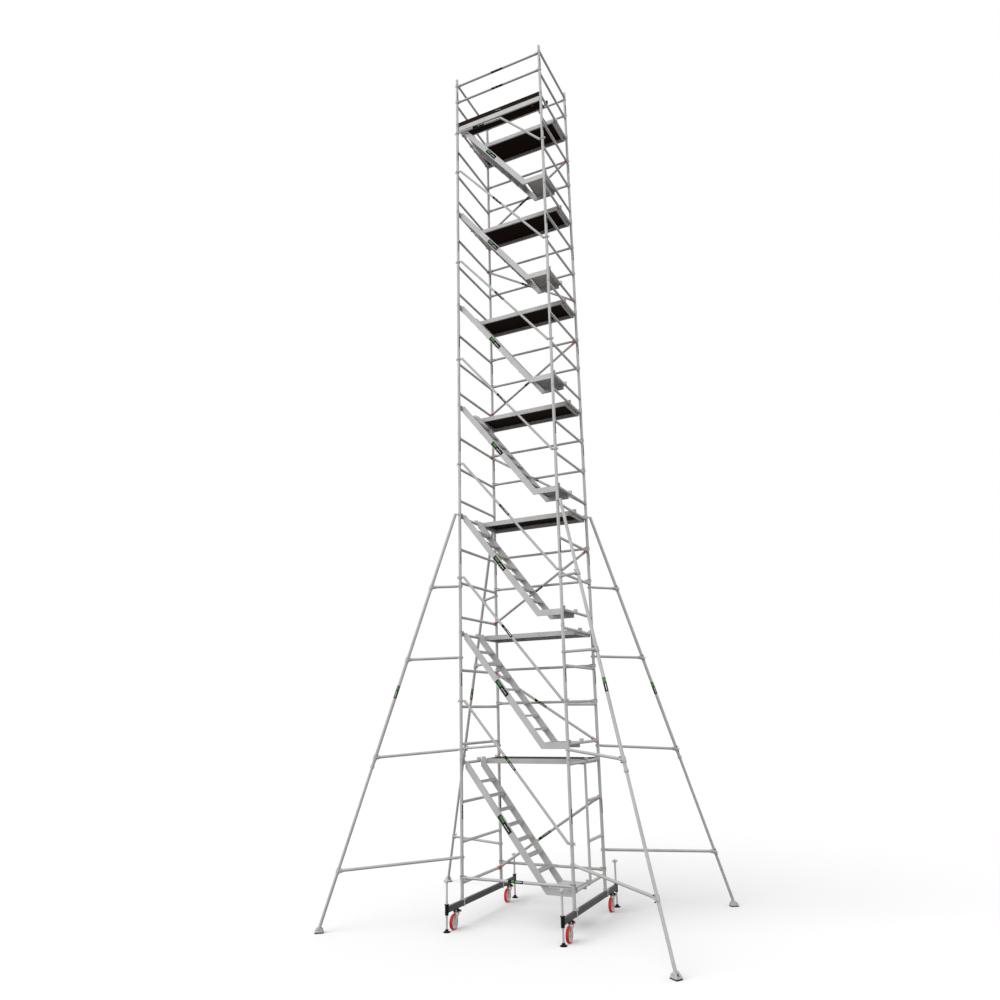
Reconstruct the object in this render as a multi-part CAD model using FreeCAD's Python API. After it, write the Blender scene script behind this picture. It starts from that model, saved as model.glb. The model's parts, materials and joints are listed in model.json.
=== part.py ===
"""Mobile stairway tower scaffold: stacked aluminium frames on two wheeled base beams.

Frame of the part: +Z up, X along the decks, Y across the tower with the decks on the +Y side.
The origin is on the ground under the middle of the tower. All sizes are in millimetres.
Every solid is made where it stands on the assembled tower, with its outriggers spread.
"""
import FreeCAD, Part
import math
import os

V = FreeCAD.Vector
X_AXIS = V(1, 0, 0)
Y_AXIS = V(0, 1, 0)
Z_AXIS = V(0, 0, 1)

# ---------------------------------------------------------------- fits
running_gap = 0.08        # radial, for a part that turns or slides on another
assembly_gap = 0.5        # radial or straight, between parts that are clamped or hooked together
moving_gap = 1.0          # between a moving part and what it passes

# ---------------------------------------------------------------- tower
storeys = 7
storey_height = 1960.0    # deck to deck, and the height of one frame
bay_length = 1770.0       # between post centres along X
frame_width = 1300.0      # between post centres along Y
post_d = 50.0
post_wall = 2.0
rung_d = 42.0
rung_wall = 2.0
first_rung_height = 210.0  # above the foot of a frame
top_rung_drop = 70.0       # below the top of a frame
rungs_per_frame = 4
spigot_length = 200.0
spigot_wall = 2.0
portal_post_y = 25.0       # inner upright of the walk-through frame
portal_post_d = 40.0
guard_frame_height = 1059.0
guard_rung_heights = (430.0, 950.0)

# ---------------------------------------------------------------- base
base_offset = 14.0         # beams and jacks stand this far to +X of the posts
beam_width = 40.0
beam_height = 80.0
beam_wall = 3.0
beam_bottom = 248.0
beam_weld_lap = 6.0        # beam end inside the outline of the jack sleeve
clamp_plate = 12.0
clamp_strap = 6.0
clamp_strap_width = 26.0
clamp_plate_margin = 10.0  # plate beyond its straps
clamp_plate_end = 5.0      # plate beyond the post along the beam
clamp_bolt_d = 12.0
clamp_bolt_head = 5.0
clamp_bolt_inset = 9.0

# ---------------------------------------------------------------- jacks
jack_y = 1125.0
jack_sleeve_d = 52.0
jack_sleeve_wall = 4.0
jack_sleeve_length = 140.0
jack_sleeve_rise = 2.0     # middle of the sleeve above the middle of the beam
jack_collar_d = 66.0
jack_collar_height = 9.0
jack_bush_length = 22.0
jack_spindle_d = 32.0
jack_foot_d = 100.0
jack_foot_rim = 9.0
jack_foot_height = 42.0
jack_cone_share = 0.62     # foot of the cone over the foot of the jack
jack_neck_d = 42.0
jack_journal_d = 20.0
jack_journal_length = 26.0
jack_top = 680.0
jack_wing_span = 86.0
jack_wing_thickness = 10.0
jack_wing_height = 34.0
jack_wing_angles = (30.0, 120.0)
jack_hub_d = 44.0
jack_hub_step = 4.0        # hub beyond its wings, above and below

# ---------------------------------------------------------------- castors
caster_y = 880.0
caster_trail = 80.0
caster_offset = 30.0       # swivel axes stand this far to +X of the posts
caster_rest_angle = 2.5    # swivel angle of the standing tower, from straight back along -Y
wheel_d = 200.0
wheel_width = 36.0
wheel_edge_round = 6.0
hub_d = 170.0
hub_web = 14.0
hub_rim = 8.0
hub_boss_d = 50.0
hub_boss_width = 44.0
axle_d = 12.0
axle_head = 8.0            # axle beyond the fork
fork_gap = 1.5
fork_sheet = 5.0
fork_boss_d = 34.0
fork_front = 26.0          # front edge of the fork at its crown
fork_nose = 46.0           # front edge of the fork at the pedal
fork_nose_height = 16.0
fork_back = -34.0          # back edge of the fork at its crown
crown_d = 80.0
crown_thickness = 9.0
mount_d = 94.0
mount_thickness = 26.0
kingpin_d = 20.0
kingpin_length = 16.0
pedal_pivot_forward = 32.0
pedal_pivot_drop = 12.0
pedal_pin_d = 10.0
pedal_pin_head = 3.0
pedal_lip = 8.0
pedal_lip_drop = 12.0
pedal_hub_d = 20.0
pedal_length = 92.0
pedal_thickness = 8.0
pedal_width = 46.0
pedal_rise = 8.0           # degrees above level when the brake is off

# ---------------------------------------------------------------- braces and handrails
brace_d = 42.0
brace_wall = 2.0
brace_end_gap = 62.0       # post centre to tube end
claw_wall = 8.0
claw_height = 38.0
claw_mouth = 36.0
socket_length = 40.0
socket_d = 48.0
lock_thickness = 9.0
lock_width = 24.0
diagonal_y_inset = 68.0    # diagonal brace plane, inside the back posts
base_brace_height = 350.0  # above the level-0 datum
brace_heights = (890.0, 1450.0)
guardrail_heights = (580.0, 965.0)
handrail_d = 40.0
handrail_wall = 2.0
handrail_top_height = 930.0
handrail_foot_height = 900.0
stub_d = 24.0
handrail_head_gap = 65.0   # post centre to the upper tube end
handrail_foot_gap = 52.0   # post centre to the lower tube end
handrail_plug = 45.0
bent_rail_drop = 144.0
bent_rail_fall = 26.0
bent_rail_knee_x = 60.0
bent_rail_foot_drop = 961.0

# ---------------------------------------------------------------- decks
deck_width = 590.0
deck_inner_y = 40.0
deck_end_gap = 30.0        # rung centre to deck end
deck_rail_height = 75.0
deck_rail_width = 25.0
deck_rail_wall = 2.0
deck_top_rise = 30.0       # above the rung centre
deck_panel = 12.0
deck_end_beam_width = 40.0
deck_end_beam_height = 55.0
deck_hook_inset = 55.0
hook_wall = 8.0
hook_crown_height = 58.0   # above the rung centre
hook_crown_half = 29.0     # along the deck, each side of the rung centre
hook_width = 30.0
hook_leg = 16.0

# ---------------------------------------------------------------- stairs
stair_outer_y = -604.0
stair_width = 546.0
stringer_depth = 93.0
stringer_width = 25.0
stringer_wall = 2.5
stair_head_gap = 45.0      # rung centre to the end of the stringers
landing_length = 415.0     # rung centre to the knee of the stringers
landing_end_gap = 32.0
landing_rise = 20.0        # top of the landing above its rung centre
treads = 7
tread_rise = 200.0
tread_depth = 100.0
tread_thickness = 30.0
tread_wall = 2.5
landing_sheet = 4.0
landing_lip = 22.0
stair_hook_inset = 12.5

# ---------------------------------------------------------------- top walkway
narrow_rail_height = 97.0
narrow_rail_top_drop = 3.0
narrow_rail_thickness = 25.0
narrow_rail_outer_y = -647.0
narrow_deck_back_y = -385.0
narrow_panel = 12.0
narrow_panel_drop = 60.0
narrow_panel_start = 165.0   # from the left rung centre, clear of the stair head
narrow_back_rail_height = 50.0
cross_tube_d = 30.0
cross_tube_drop = 18.0
cross_tube_inset = 185.0
toe_board_height = 103.0
toe_board_thickness = 18.0
toe_board_gap = 3.0

# ---------------------------------------------------------------- outriggers
outrigger_reach_x = 1675.0   # post centre to pad centre
outrigger_reach_y = 1180.0
outrigger_top_height = 6194.0
outrigger_top_offset = 72.0
leg_d = 50.0
leg_inner_d = 44.0
leg_inner_wall = 2.0
leg_split_height = 2200.0
leg_overlap = 300.0
leg_collar = 30.0
strut_d = 42.0
strut_wall = 2.0
strut_gap = 46.0             # post centre to tube end
strut_link_d = 22.0
strut_plug = 40.0
strut_post_heights = (4975.0, 3830.0, 2434.0, 900.0)
strut_leg_heights = (4955.0, 3804.0, 2350.0, 797.0)
clamp_height = 34.0
clamp_wall = 9.0
coupler_length = 72.0
coupler_wall = 8.0
coupler_cup = 22.0           # coupler over the end of its strut
pivot_height = 60.0
pad_length = 150.0
pad_width = 112.0
pad_sole = 12.0
pad_plate = 8.0
pad_lug = 8.0
pad_lug_length = 46.0
pad_pin_d = 16.0
pad_pin_head = 4.0
pad_plate_inset = 4.0
eye_d = 42.0
eye_width = 42.0
plug_length = 90.0

# ---------------------------------------------------------------- derived places
half_bay = bay_length / 2
half_width = frame_width / 2
beam_top = beam_bottom + beam_height
frame_base = beam_top + clamp_plate
post_r = post_d / 2
rung_r = rung_d / 2
spigot_r = post_r - post_wall - assembly_gap
rung_pitch = (storey_height - top_rung_drop - first_rung_height) / (rungs_per_frame - 1)
corners = {"fl": (-1, -1), "fr": (1, -1), "bl": (-1, 1), "br": (1, 1)}


def frame_foot(storey):
    """Height of the foot of a frame; storeys count from 1."""
    return frame_base + storey_height * (storey - 1)


def level(deck):
    """Height of the rung that carries a deck; level 0 is the datum under the first storey."""
    return frame_base + storey_height * deck - top_rung_drop


def rung_height(storey, rung):
    return frame_foot(storey) + first_rung_height + rung_pitch * rung


# ---------------------------------------------------------------- shape helpers
def box(x0, x1, y0, y1, z0, z1):
    corner = V(min(x0, x1), min(y0, y1), min(z0, z1))
    return Part.makeBox(abs(x1 - x0), abs(y1 - y0), abs(z1 - z0), corner)


def rod(start, end, radius):
    along = end - start
    return Part.makeCylinder(radius, along.Length, start, along)


def tube(start, end, radius, wall):
    return rod(start, end, radius).cut(rod(start, end, radius - wall))


def ring(centre, axis, inner, outer, height):
    half = V(axis).normalize() * (height / 2)
    return rod(centre - half, centre + half, outer).cut(rod(centre - half, centre + half, inner))


def box_section(x0, x1, y0, y1, z0, z1, wall, along):
    """Rectangular hollow section, open at its ends, that runs along one axis."""
    outer = box(x0, x1, y0, y1, z0, z1)
    inset = {"x": (0, wall, wall), "y": (wall, 0, wall), "z": (wall, wall, 0)}[along]
    core = box(min(x0, x1) + inset[0], max(x0, x1) - inset[0],
               min(y0, y1) + inset[1], max(y0, y1) - inset[1],
               min(z0, z1) + inset[2], max(z0, z1) - inset[2])
    return outer.cut(core)


def plate_xz(points, y0, y1):
    """Flat plate from an outline in the XZ plane."""
    corners_3d = [V(x, min(y0, y1), z) for x, z in points]
    outline = Part.makePolygon(corners_3d + corners_3d[:1])
    return Part.Face(outline).extrude(V(0, abs(y1 - y0), 0))


def place(shape, origin, x_dir, z_dir):
    """Moves a shape made at the origin so that its X and Z axes follow two directions."""
    y_dir = z_dir.cross(x_dir)
    moved = shape.copy()
    moved.Placement = FreeCAD.Placement(origin, FreeCAD.Rotation(x_dir, y_dir, z_dir, "ZXY"))
    return moved


def turned(shape, angle, centre=V(0, 0, 0), axis=Z_AXIS):
    moved = shape.copy()
    moved.rotate(centre, axis, angle)
    return moved


def shifted(shape, x, y, z):
    moved = shape.copy()
    moved.translate(V(x, y, z))
    return moved


def export(node, solids):
    for solid in solids:
        if not solid.isValid() or solid.Volume <= 0:
            raise ValueError("bad solid in " + node)
    flat = [piece for solid in solids for piece in solid.Solids]
    Part.makeCompound(flat).exportStep(os.path.join("parts", node + ".step"))


# ---------------------------------------------------------------- base
def base_beams():
    end = jack_y - jack_sleeve_d / 2 + beam_weld_lap
    solids = []
    for side in (-1, 1):
        x = side * half_bay + base_offset
        beam = box_section(x - beam_width / 2, x + beam_width / 2, -end, end,
                           beam_bottom, beam_top, beam_wall, "y")
        for way in (-1, 1):
            sleeve = rod(V(x, way * jack_y, 0), V(x, way * jack_y, frame_base), jack_sleeve_d / 2)
            beam = beam.cut(sleeve)
        solids.append(beam)
    return solids


def jack_sleeves():
    solids = []
    bottom = (beam_bottom + beam_top - jack_sleeve_length) / 2 + jack_sleeve_rise
    top = bottom + jack_sleeve_length
    outer = jack_sleeve_d / 2
    bush_r = outer - jack_sleeve_wall
    bore = jack_spindle_d / 2 + running_gap
    for sx, sy in corners.values():
        x = sx * half_bay + base_offset
        y = sy * jack_y
        sleeve = tube(V(x, y, bottom), V(x, y, top), outer, jack_sleeve_wall)
        collar = tube(V(x, y, top - jack_collar_height), V(x, y, top), jack_collar_d / 2,
                      jack_collar_d / 2 - bush_r)
        solids.append(sleeve.fuse(collar).removeSplitter())
        for low in (bottom, top - jack_bush_length):
            bush = tube(V(x, y, low), V(x, y, low + jack_bush_length), bush_r, bush_r - bore)
            solids.append(bush)
    return solids


def beam_clamps():
    """At each post: a plate with a spigot on the beam, and a strap bolted round the beam."""
    solids = []
    inner = beam_width / 2 + assembly_gap
    outer = inner + clamp_strap
    plate_half = outer + clamp_plate_margin
    plate_end = post_r + clamp_plate_end
    strap_foot = beam_bottom - assembly_gap - clamp_strap
    for sx, sy in corners.values():
        post_x = sx * half_bay
        x = post_x + base_offset
        y = sy * half_width
        plate = box(x - plate_half, x + plate_half, y - plate_end, y + plate_end, beam_top, frame_base)
        spigot_top = V(post_x, y, frame_base + spigot_length / 2)
        plate = plate.fuse(rod(V(post_x, y, frame_base), spigot_top, spigot_r))
        solids.append(plate.cut(rod(V(post_x, y, frame_base), spigot_top, spigot_r - spigot_wall)))
        y0 = y - clamp_strap_width / 2
        y1 = y + clamp_strap_width / 2
        for side in (-1, 1):
            solids.append(box(x + side * inner, x + side * outer, y0, y1, strap_foot, beam_top))
        bar = box(x - inner, x + inner, y0, y1, strap_foot, strap_foot + clamp_strap)
        solids.append(bar)
        for side in (-1, 1):
            bolt_x = x + side * (inner - clamp_bolt_inset)
            low = V(bolt_x, y, strap_foot - clamp_bolt_head)
            solids.append(rod(low, V(bolt_x, y, strap_foot), clamp_bolt_d / 2))
    return solids


def caster_mounts():
    solids = []
    bore = kingpin_d / 2 + running_gap
    for sx, sy in corners.values():
        x = sx * half_bay + caster_offset
        y = sy * caster_y
        low = V(x, y, beam_bottom - mount_thickness)
        high = V(x, y, beam_bottom)
        disc = rod(low, high, mount_d / 2)
        solids.append(disc.cut(rod(low, low + Z_AXIS * (kingpin_length + moving_gap), bore)))
    return solids


# ---------------------------------------------------------------- frames
def rung_between(x, y0, y1, z, posts):
    bar = tube(V(x, y0, z), V(x, y1, z), rung_r, rung_wall)
    for post in posts:
        bar = bar.cut(post)
    return bar


def post_core(x, y, low, high, diameter=post_d):
    return rod(V(x, y, low), V(x, y, high), diameter / 2)


def one_frame(x, storey, rung_heights, height, with_spigots):
    low = frame_foot(storey)
    high = low + height
    solids = []
    cores = []
    for y in (-half_width, half_width):
        solids.append(tube(V(x, y, low), V(x, y, high), post_r, post_wall))
        cores.append(post_core(x, y, low, high))
        if with_spigots:
            start = high - spigot_length / 2
            solids.append(tube(V(x, y, start), V(x, y, start + spigot_length), spigot_r, spigot_wall))
    for z in rung_heights:
        solids.append(rung_between(x, -half_width, half_width, z, cores))
    return solids


def ladder_frames(x, first_storey):
    solids = []
    for storey in range(first_storey, storeys + 1):
        heights = [rung_height(storey, rung) for rung in range(rungs_per_frame)]
        solids += one_frame(x, storey, heights, storey_height, True)
    return solids


def portal_frame():
    """Bottom right frame: full rungs only at top and bottom, so a person can walk through."""
    x = half_bay
    heights = [rung_height(1, rung) for rung in range(rungs_per_frame)]
    solids = one_frame(x, 1, (heights[0], heights[-1]), storey_height, True)
    upright = tube(V(x, portal_post_y, heights[0]), V(x, portal_post_y, heights[-1]),
                   portal_post_d / 2, rung_wall)
    for z in (heights[0], heights[-1]):
        upright = upright.cut(rod(V(x, -half_width, z), V(x, half_width, z), rung_r))
    solids.append(upright)
    cores = [post_core(x, half_width, heights[0], heights[-1]),
             post_core(x, portal_post_y, heights[0], heights[-1], portal_post_d)]
    for z in heights[1:-1]:
        solids.append(rung_between(x, portal_post_y, half_width, z, cores))
    return solids


def guard_frames():
    low = frame_foot(storeys + 1)
    heights = [low + height for height in guard_rung_heights]
    solids = []
    for side in (-1, 1):
        solids += one_frame(side * half_bay, storeys + 1, heights, guard_frame_height, False)
    return solids


# ---------------------------------------------------------------- braces
def claw(grip_r):
    """Hook casting about the Z axis with its socket along +X, and its mouth on the -X side."""
    inner = grip_r + assembly_gap
    outer = inner + claw_wall
    body = rod(V(0, 0, -claw_height / 2), V(0, 0, claw_height / 2), outer)
    body = body.fuse(rod(V(0, 0, 0), V(brace_end_gap + socket_length / 2, 0, 0), socket_d / 2))
    body = body.cut(rod(V(0, 0, -socket_d), V(0, 0, socket_d), inner))
    body = body.cut(box(-outer - 1, 0, -claw_mouth / 2, claw_mouth / 2, -socket_d, socket_d))
    return body.cut(rod(V(brace_end_gap, 0, 0), V(brace_end_gap + socket_length, 0, 0), brace_d / 2))


def claw_lock(grip_r):
    """Coloured latch on top of a claw: a horseshoe with a tongue over the socket."""
    inner = grip_r + assembly_gap
    outer = inner + claw_wall
    low = claw_height / 2
    high = low + lock_thickness
    latch = rod(V(0, 0, low), V(0, 0, high), outer)
    latch = latch.fuse(box(0, brace_end_gap, -lock_width / 2, lock_width / 2, low, high))
    latch = latch.cut(rod(V(0, 0, low), V(0, 0, high), inner))
    latch = latch.cut(rod(V(0, 0, 0), V(brace_end_gap + socket_length / 2, 0, 0), socket_d / 2))
    return latch.cut(box(-outer, 0, -claw_mouth / 2, claw_mouth / 2, low, high))


def brace(start, end, grip_axis, grip_r):
    """Tube between two gripped centres, its two claws and their latches."""
    along = (end - start).normalize()
    bar = tube(start + along * brace_end_gap, end - along * brace_end_gap, brace_d / 2, brace_wall)
    hooks = [place(claw(grip_r), start, along, grip_axis),
             place(claw(grip_r), end, along * -1, grip_axis)]
    locks = [place(claw_lock(grip_r), start, along, grip_axis),
             place(claw_lock(grip_r), end, along * -1, grip_axis)]
    return [bar] + hooks, locks


def horizontal_places():
    """Heights of the level braces on the front and the back face."""
    front = [level(0) + base_brace_height]
    back = [level(0) + base_brace_height]
    for deck in range(1, storeys):
        back += [level(deck) + height for height in brace_heights]
    rails = [level(storeys) + height for height in guardrail_heights]
    return [(-half_width, z) for z in front + rails] + [(half_width, z) for z in back + rails]


def horizontal_braces():
    bars = []
    locks = []
    for y, z in horizontal_places():
        pieces, latches = brace(V(-half_bay, y, z), V(half_bay, y, z), Z_AXIS, post_r)
        bars += pieces
        locks += latches
    return bars, locks


def diagonal_braces():
    """One a storey on the back face, leaning left and right by turns."""
    bars = []
    locks = []
    y = half_width - diagonal_y_inset
    for storey in range(1, storeys + 1):
        low = rung_height(storey, 0)
        high = rung_height(storey, 2)
        left, right = (low, high) if storey % 2 else (high, low)
        pieces, latches = brace(V(-half_bay, y, left), V(half_bay, y, right), Y_AXIS * -1, rung_r)
        bars += pieces
        locks += latches
    return bars, locks


# ---------------------------------------------------------------- handrails
def post_clip(x, y, tube_end, along):
    """Ring clamp round a post, with a stub to a plug that fills the end of a handrail."""
    inner = post_r + assembly_gap
    centre = V(x, y, tube_end.z)
    clip = ring(centre, Z_AXIS, inner, inner + claw_wall, claw_height)
    reach = tube_end + V(math.copysign(handrail_d / 4, tube_end.x - x), 0, 0)
    stub = rod(centre, reach, stub_d / 2).cut(post_core(x, y, centre.z - post_d, centre.z + post_d,
                                                        2 * inner))
    stub = stub.cut(rod(tube_end, tube_end + along * handrail_plug, handrail_d))
    plug = rod(tube_end, tube_end + along * handrail_plug, handrail_d / 2 - handrail_wall)
    neck = rod(tube_end - along * (stub_d / 2), tube_end, stub_d / 2)
    neck = neck.cut(post_core(x, y, centre.z - post_d, centre.z + post_d, 2 * inner))
    return clip.fuse(stub).fuse(neck).fuse(plug)


def straight_handrail(deck):
    y = -half_width
    top = V(-half_bay + handrail_head_gap, y, level(deck) + handrail_top_height)
    foot = V(half_bay - handrail_foot_gap, y, level(deck - 1) + handrail_foot_height)
    along = (foot - top).normalize()
    return [tube(top, foot, handrail_d / 2, handrail_wall),
            post_clip(-half_bay, y, top, along),
            post_clip(half_bay, y, foot, along * -1)]


def bent_handrail():
    """Top handrail: level along the edge of the walkway, then down beside the last flight."""
    y = -half_width
    start = V(-half_bay + handrail_head_gap, y, level(storeys) - bent_rail_drop)
    knee = V(bent_rail_knee_x, y, start.z - bent_rail_fall)
    foot = V(half_bay - handrail_foot_gap, y, level(storeys) - bent_rail_foot_drop)
    outer = handrail_d / 2
    inner = outer - handrail_wall
    core = rod(start, knee, outer).fuse(rod(knee, foot, outer)).fuse(Part.makeSphere(outer, knee))
    bore = rod(start, knee, inner).fuse(rod(knee, foot, inner)).fuse(Part.makeSphere(inner, knee))
    return [core.cut(bore),
            post_clip(-half_bay, y, start, (knee - start).normalize()),
            post_clip(half_bay, y, foot, (knee - foot).normalize())]


def handrails():
    solids = []
    for deck in range(1, storeys):
        solids += straight_handrail(deck)
    return solids + bent_handrail()


# ---------------------------------------------------------------- decks
def hook(side, y, z, reach):
    """Hook over a rung of the left (-1) or right (+1) frame; reach is back to what it carries."""
    x = side * half_bay
    inner = rung_r + assembly_gap
    outer = inner + hook_wall
    y0 = y - hook_width / 2
    y1 = y + hook_width / 2
    body = rod(V(x, y0, z), V(x, y1, z), outer)
    body = body.fuse(box(x, x + side * outer, y0, y1, z - hook_leg, z))
    body = body.fuse(box(x - hook_crown_half, x + hook_crown_half, y0, y1, z, z + hook_crown_height))
    body = body.fuse(box(x, x - side * reach, y0, y1, z - hook_leg, z + rung_r))
    body = body.cut(rod(V(x, y0 - 1, z), V(x, y1 + 1, z), inner))
    return body.cut(box(x - inner, x + inner, y0 - 1, y1 + 1, z - outer - 1, z))


def deck_frame(deck):
    z = level(deck)
    end = half_bay - deck_end_gap
    low = z + deck_top_rise - deck_rail_height
    high = z + deck_top_rise
    outer_y = deck_inner_y + deck_width
    solids = [box_section(-end, end, deck_inner_y, deck_inner_y + deck_rail_width, low, high,
                          deck_rail_wall, "x"),
              box_section(-end, end, outer_y - deck_rail_width, outer_y, low, high,
                          deck_rail_wall, "x")]
    inner_y0 = deck_inner_y + deck_rail_width
    inner_y1 = outer_y - deck_rail_width
    for side in (-1, 1):
        solids.append(box_section(side * (end - deck_end_beam_width), side * end, inner_y0, inner_y1,
                                  low, low + deck_end_beam_height, deck_rail_wall, "y"))
        for y in (deck_inner_y + deck_hook_inset, outer_y - deck_hook_inset):
            solids.append(hook(side, y, z, deck_end_gap))
    return solids


def deck_panel_board(deck):
    high = level(deck) + deck_top_rise
    end = half_bay - deck_end_gap - assembly_gap
    return box(-end, end, deck_inner_y + deck_rail_width + assembly_gap,
               deck_inner_y + deck_width - deck_rail_width - assembly_gap, high - deck_panel, high)


# ---------------------------------------------------------------- stairs
def stringer_outlines(flight):
    """Outlines of a stringer's slope and of its level foot, which meet in a mitre."""
    head_x = -half_bay + stair_head_gap
    head_z = level(flight)
    knee_x = half_bay - landing_length
    end_x = half_bay - landing_end_gap
    top_z = rung_height(flight, 0) + landing_rise
    low_z = top_z - stringer_depth
    knee_z = (top_z + low_z) / 2
    slope = math.atan2(head_z - knee_z, knee_x - head_x)
    rise = stringer_depth / 2 / math.cos(slope)

    def edge_x(z, offset):
        return head_x + (head_z + offset - z) / math.tan(slope)

    low_corner = (edge_x(low_z, -rise), low_z)
    top_corner = (edge_x(top_z, rise), top_z)
    head_cut = head_z + deck_top_rise
    head = [(head_x, head_z - rise), (head_x, head_cut), (edge_x(head_cut, rise), head_cut)]
    sloping = head + [top_corner, low_corner]
    foot = [low_corner, top_corner, (end_x, top_z), (end_x, low_z)]
    return sloping, foot, edge_x


def hollow_plate(points, y0, y1, wall):
    """Closed hollow plate: the outline, less the same outline moved in by the wall."""
    outline = Part.makePolygon([V(x, 0, z) for x, z in points + points[:1]])
    inner = outline.makeOffset2D(-wall)
    inner_face = Part.Face(inner)
    low = min(y0, y1)
    core = inner_face.extrude(V(0, abs(y1 - y0) - 2 * wall, 0))
    core.translate(V(0, low + wall, 0))
    return plate_xz(points, y0, y1).cut(core)


def stair(flight):
    sloping, foot, edge_x = stringer_outlines(flight)
    inner_y = stair_outer_y + stair_width
    bands = ((stair_outer_y, stair_outer_y + stringer_width), (inner_y - stringer_width, inner_y))
    solids = []
    for y0, y1 in bands:
        solids.append(hollow_plate(sloping, y0, y1, stringer_wall))
        solids.append(hollow_plate(foot, y0, y1, stringer_wall))
    clear0 = bands[0][1]
    clear1 = bands[1][0]
    landing_top = foot[1][1]
    for step in range(1, treads + 1):
        top = landing_top + tread_rise * step
        mid_x = edge_x(top - tread_thickness / 2, 0)
        solids.append(box_section(mid_x - tread_depth / 2, mid_x + tread_depth / 2, clear0, clear1,
                                  top - tread_thickness, top, tread_wall, "y"))
    knee = foot[1][0]
    end = foot[2][0]
    solids.append(box(knee, end, clear0, clear1, landing_top - landing_sheet, landing_top))
    lip_top = landing_top - landing_sheet
    for x in (knee, end - landing_sheet):
        solids.append(box(x, x + landing_sheet, clear0, clear1, lip_top - landing_lip, lip_top))
    hook_ys = (stair_outer_y + stair_hook_inset, inner_y - stair_hook_inset)
    for y in hook_ys:
        solids.append(hook(-1, y, level(flight), stair_head_gap))
        solids.append(hook(1, y, rung_height(flight, 0), landing_end_gap))
    return solids


# ---------------------------------------------------------------- top walkway
def narrow_deck():
    """Narrow board along the front edge of the top level, tied back to the deck by two tubes."""
    z = level(storeys)
    end = half_bay - deck_end_gap
    back_y = narrow_rail_outer_y + narrow_rail_thickness
    high = z - narrow_rail_top_drop
    rail = box_section(-end, end, narrow_rail_outer_y, back_y, high - narrow_rail_height, high,
                       deck_rail_wall, "x")
    for side in (-1, 1):
        rail = rail.cut(post_core(side * half_bay, -half_width, frame_base, z + storey_height))
    panel_top = z - narrow_panel_drop
    start = -half_bay + narrow_panel_start
    panel = box(start, end, back_y, narrow_deck_back_y, panel_top - narrow_panel, panel_top)
    beam_low = panel_top
    beam = box_section(-end, end, narrow_deck_back_y - deck_rail_width, narrow_deck_back_y,
                       beam_low, beam_low + narrow_back_rail_height, deck_rail_wall, "x")
    solids = [rail, panel]
    beam_y = narrow_deck_back_y - deck_rail_width / 2
    tubes = []
    for side in (-1, 1):
        x = side * (half_bay - cross_tube_inset)
        tubes.append(rod(V(x, back_y, z - cross_tube_drop), V(x, deck_inner_y, z - cross_tube_drop),
                         cross_tube_d / 2))
    for core in tubes:
        beam = beam.cut(core)
        bore = rod(V(core.CenterOfMass.x, back_y, z - cross_tube_drop),
                   V(core.CenterOfMass.x, deck_inner_y, z - cross_tube_drop),
                   cross_tube_d / 2 - rung_wall)
        solids.append(core.cut(bore))
    solids.append(beam)
    for side in (-1, 1):
        solids.append(hook(side, beam_y, z, deck_end_gap))
    return solids


def toe_board():
    z = level(storeys) - narrow_rail_top_drop
    end = half_bay - post_r - toe_board_gap
    mid_y = narrow_rail_outer_y + narrow_rail_thickness / 2
    half = toe_board_thickness / 2
    return [box(-end, end, mid_y - half, mid_y + half, z, z + toe_board_height)]


# ---------------------------------------------------------------- jacks
def jack_spindle(x, y):
    r = jack_spindle_d / 2
    shoulder = jack_foot_height + moving_gap
    screw = rod(V(x, y, shoulder), V(x, y, jack_top), r)
    journal = rod(V(x, y, jack_foot_height - jack_journal_length), V(x, y, shoulder), jack_journal_d / 2)
    low = jack_top - jack_wing_height - jack_hub_step
    hub = rod(V(x, y, low - jack_hub_step), V(x, y, jack_top - jack_hub_step / 2), jack_hub_d / 2)
    solid = screw.fuse(journal).fuse(hub)
    span = jack_wing_span / 2
    half = jack_wing_thickness / 2
    for angle in jack_wing_angles:
        wing = box(x - span, x + span, y - half, y + half, low, low + jack_wing_height)
        solid = solid.fuse(turned(wing, angle, V(x, y, 0)))
    return [solid.removeSplitter()]


def jack_foot(x, y):
    rim_r = jack_foot_d / 2
    disc = rod(V(x, y, 0), V(x, y, jack_foot_rim), rim_r)
    cone = Part.makeCone(rim_r * jack_cone_share, jack_neck_d / 2, jack_foot_height - jack_foot_rim,
                         V(x, y, jack_foot_rim), Z_AXIS)
    bore = rod(V(x, y, jack_foot_height - jack_journal_length - moving_gap), V(x, y, jack_foot_height),
               jack_journal_d / 2 + running_gap)
    return [disc.fuse(cone).cut(bore).removeSplitter()]


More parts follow.
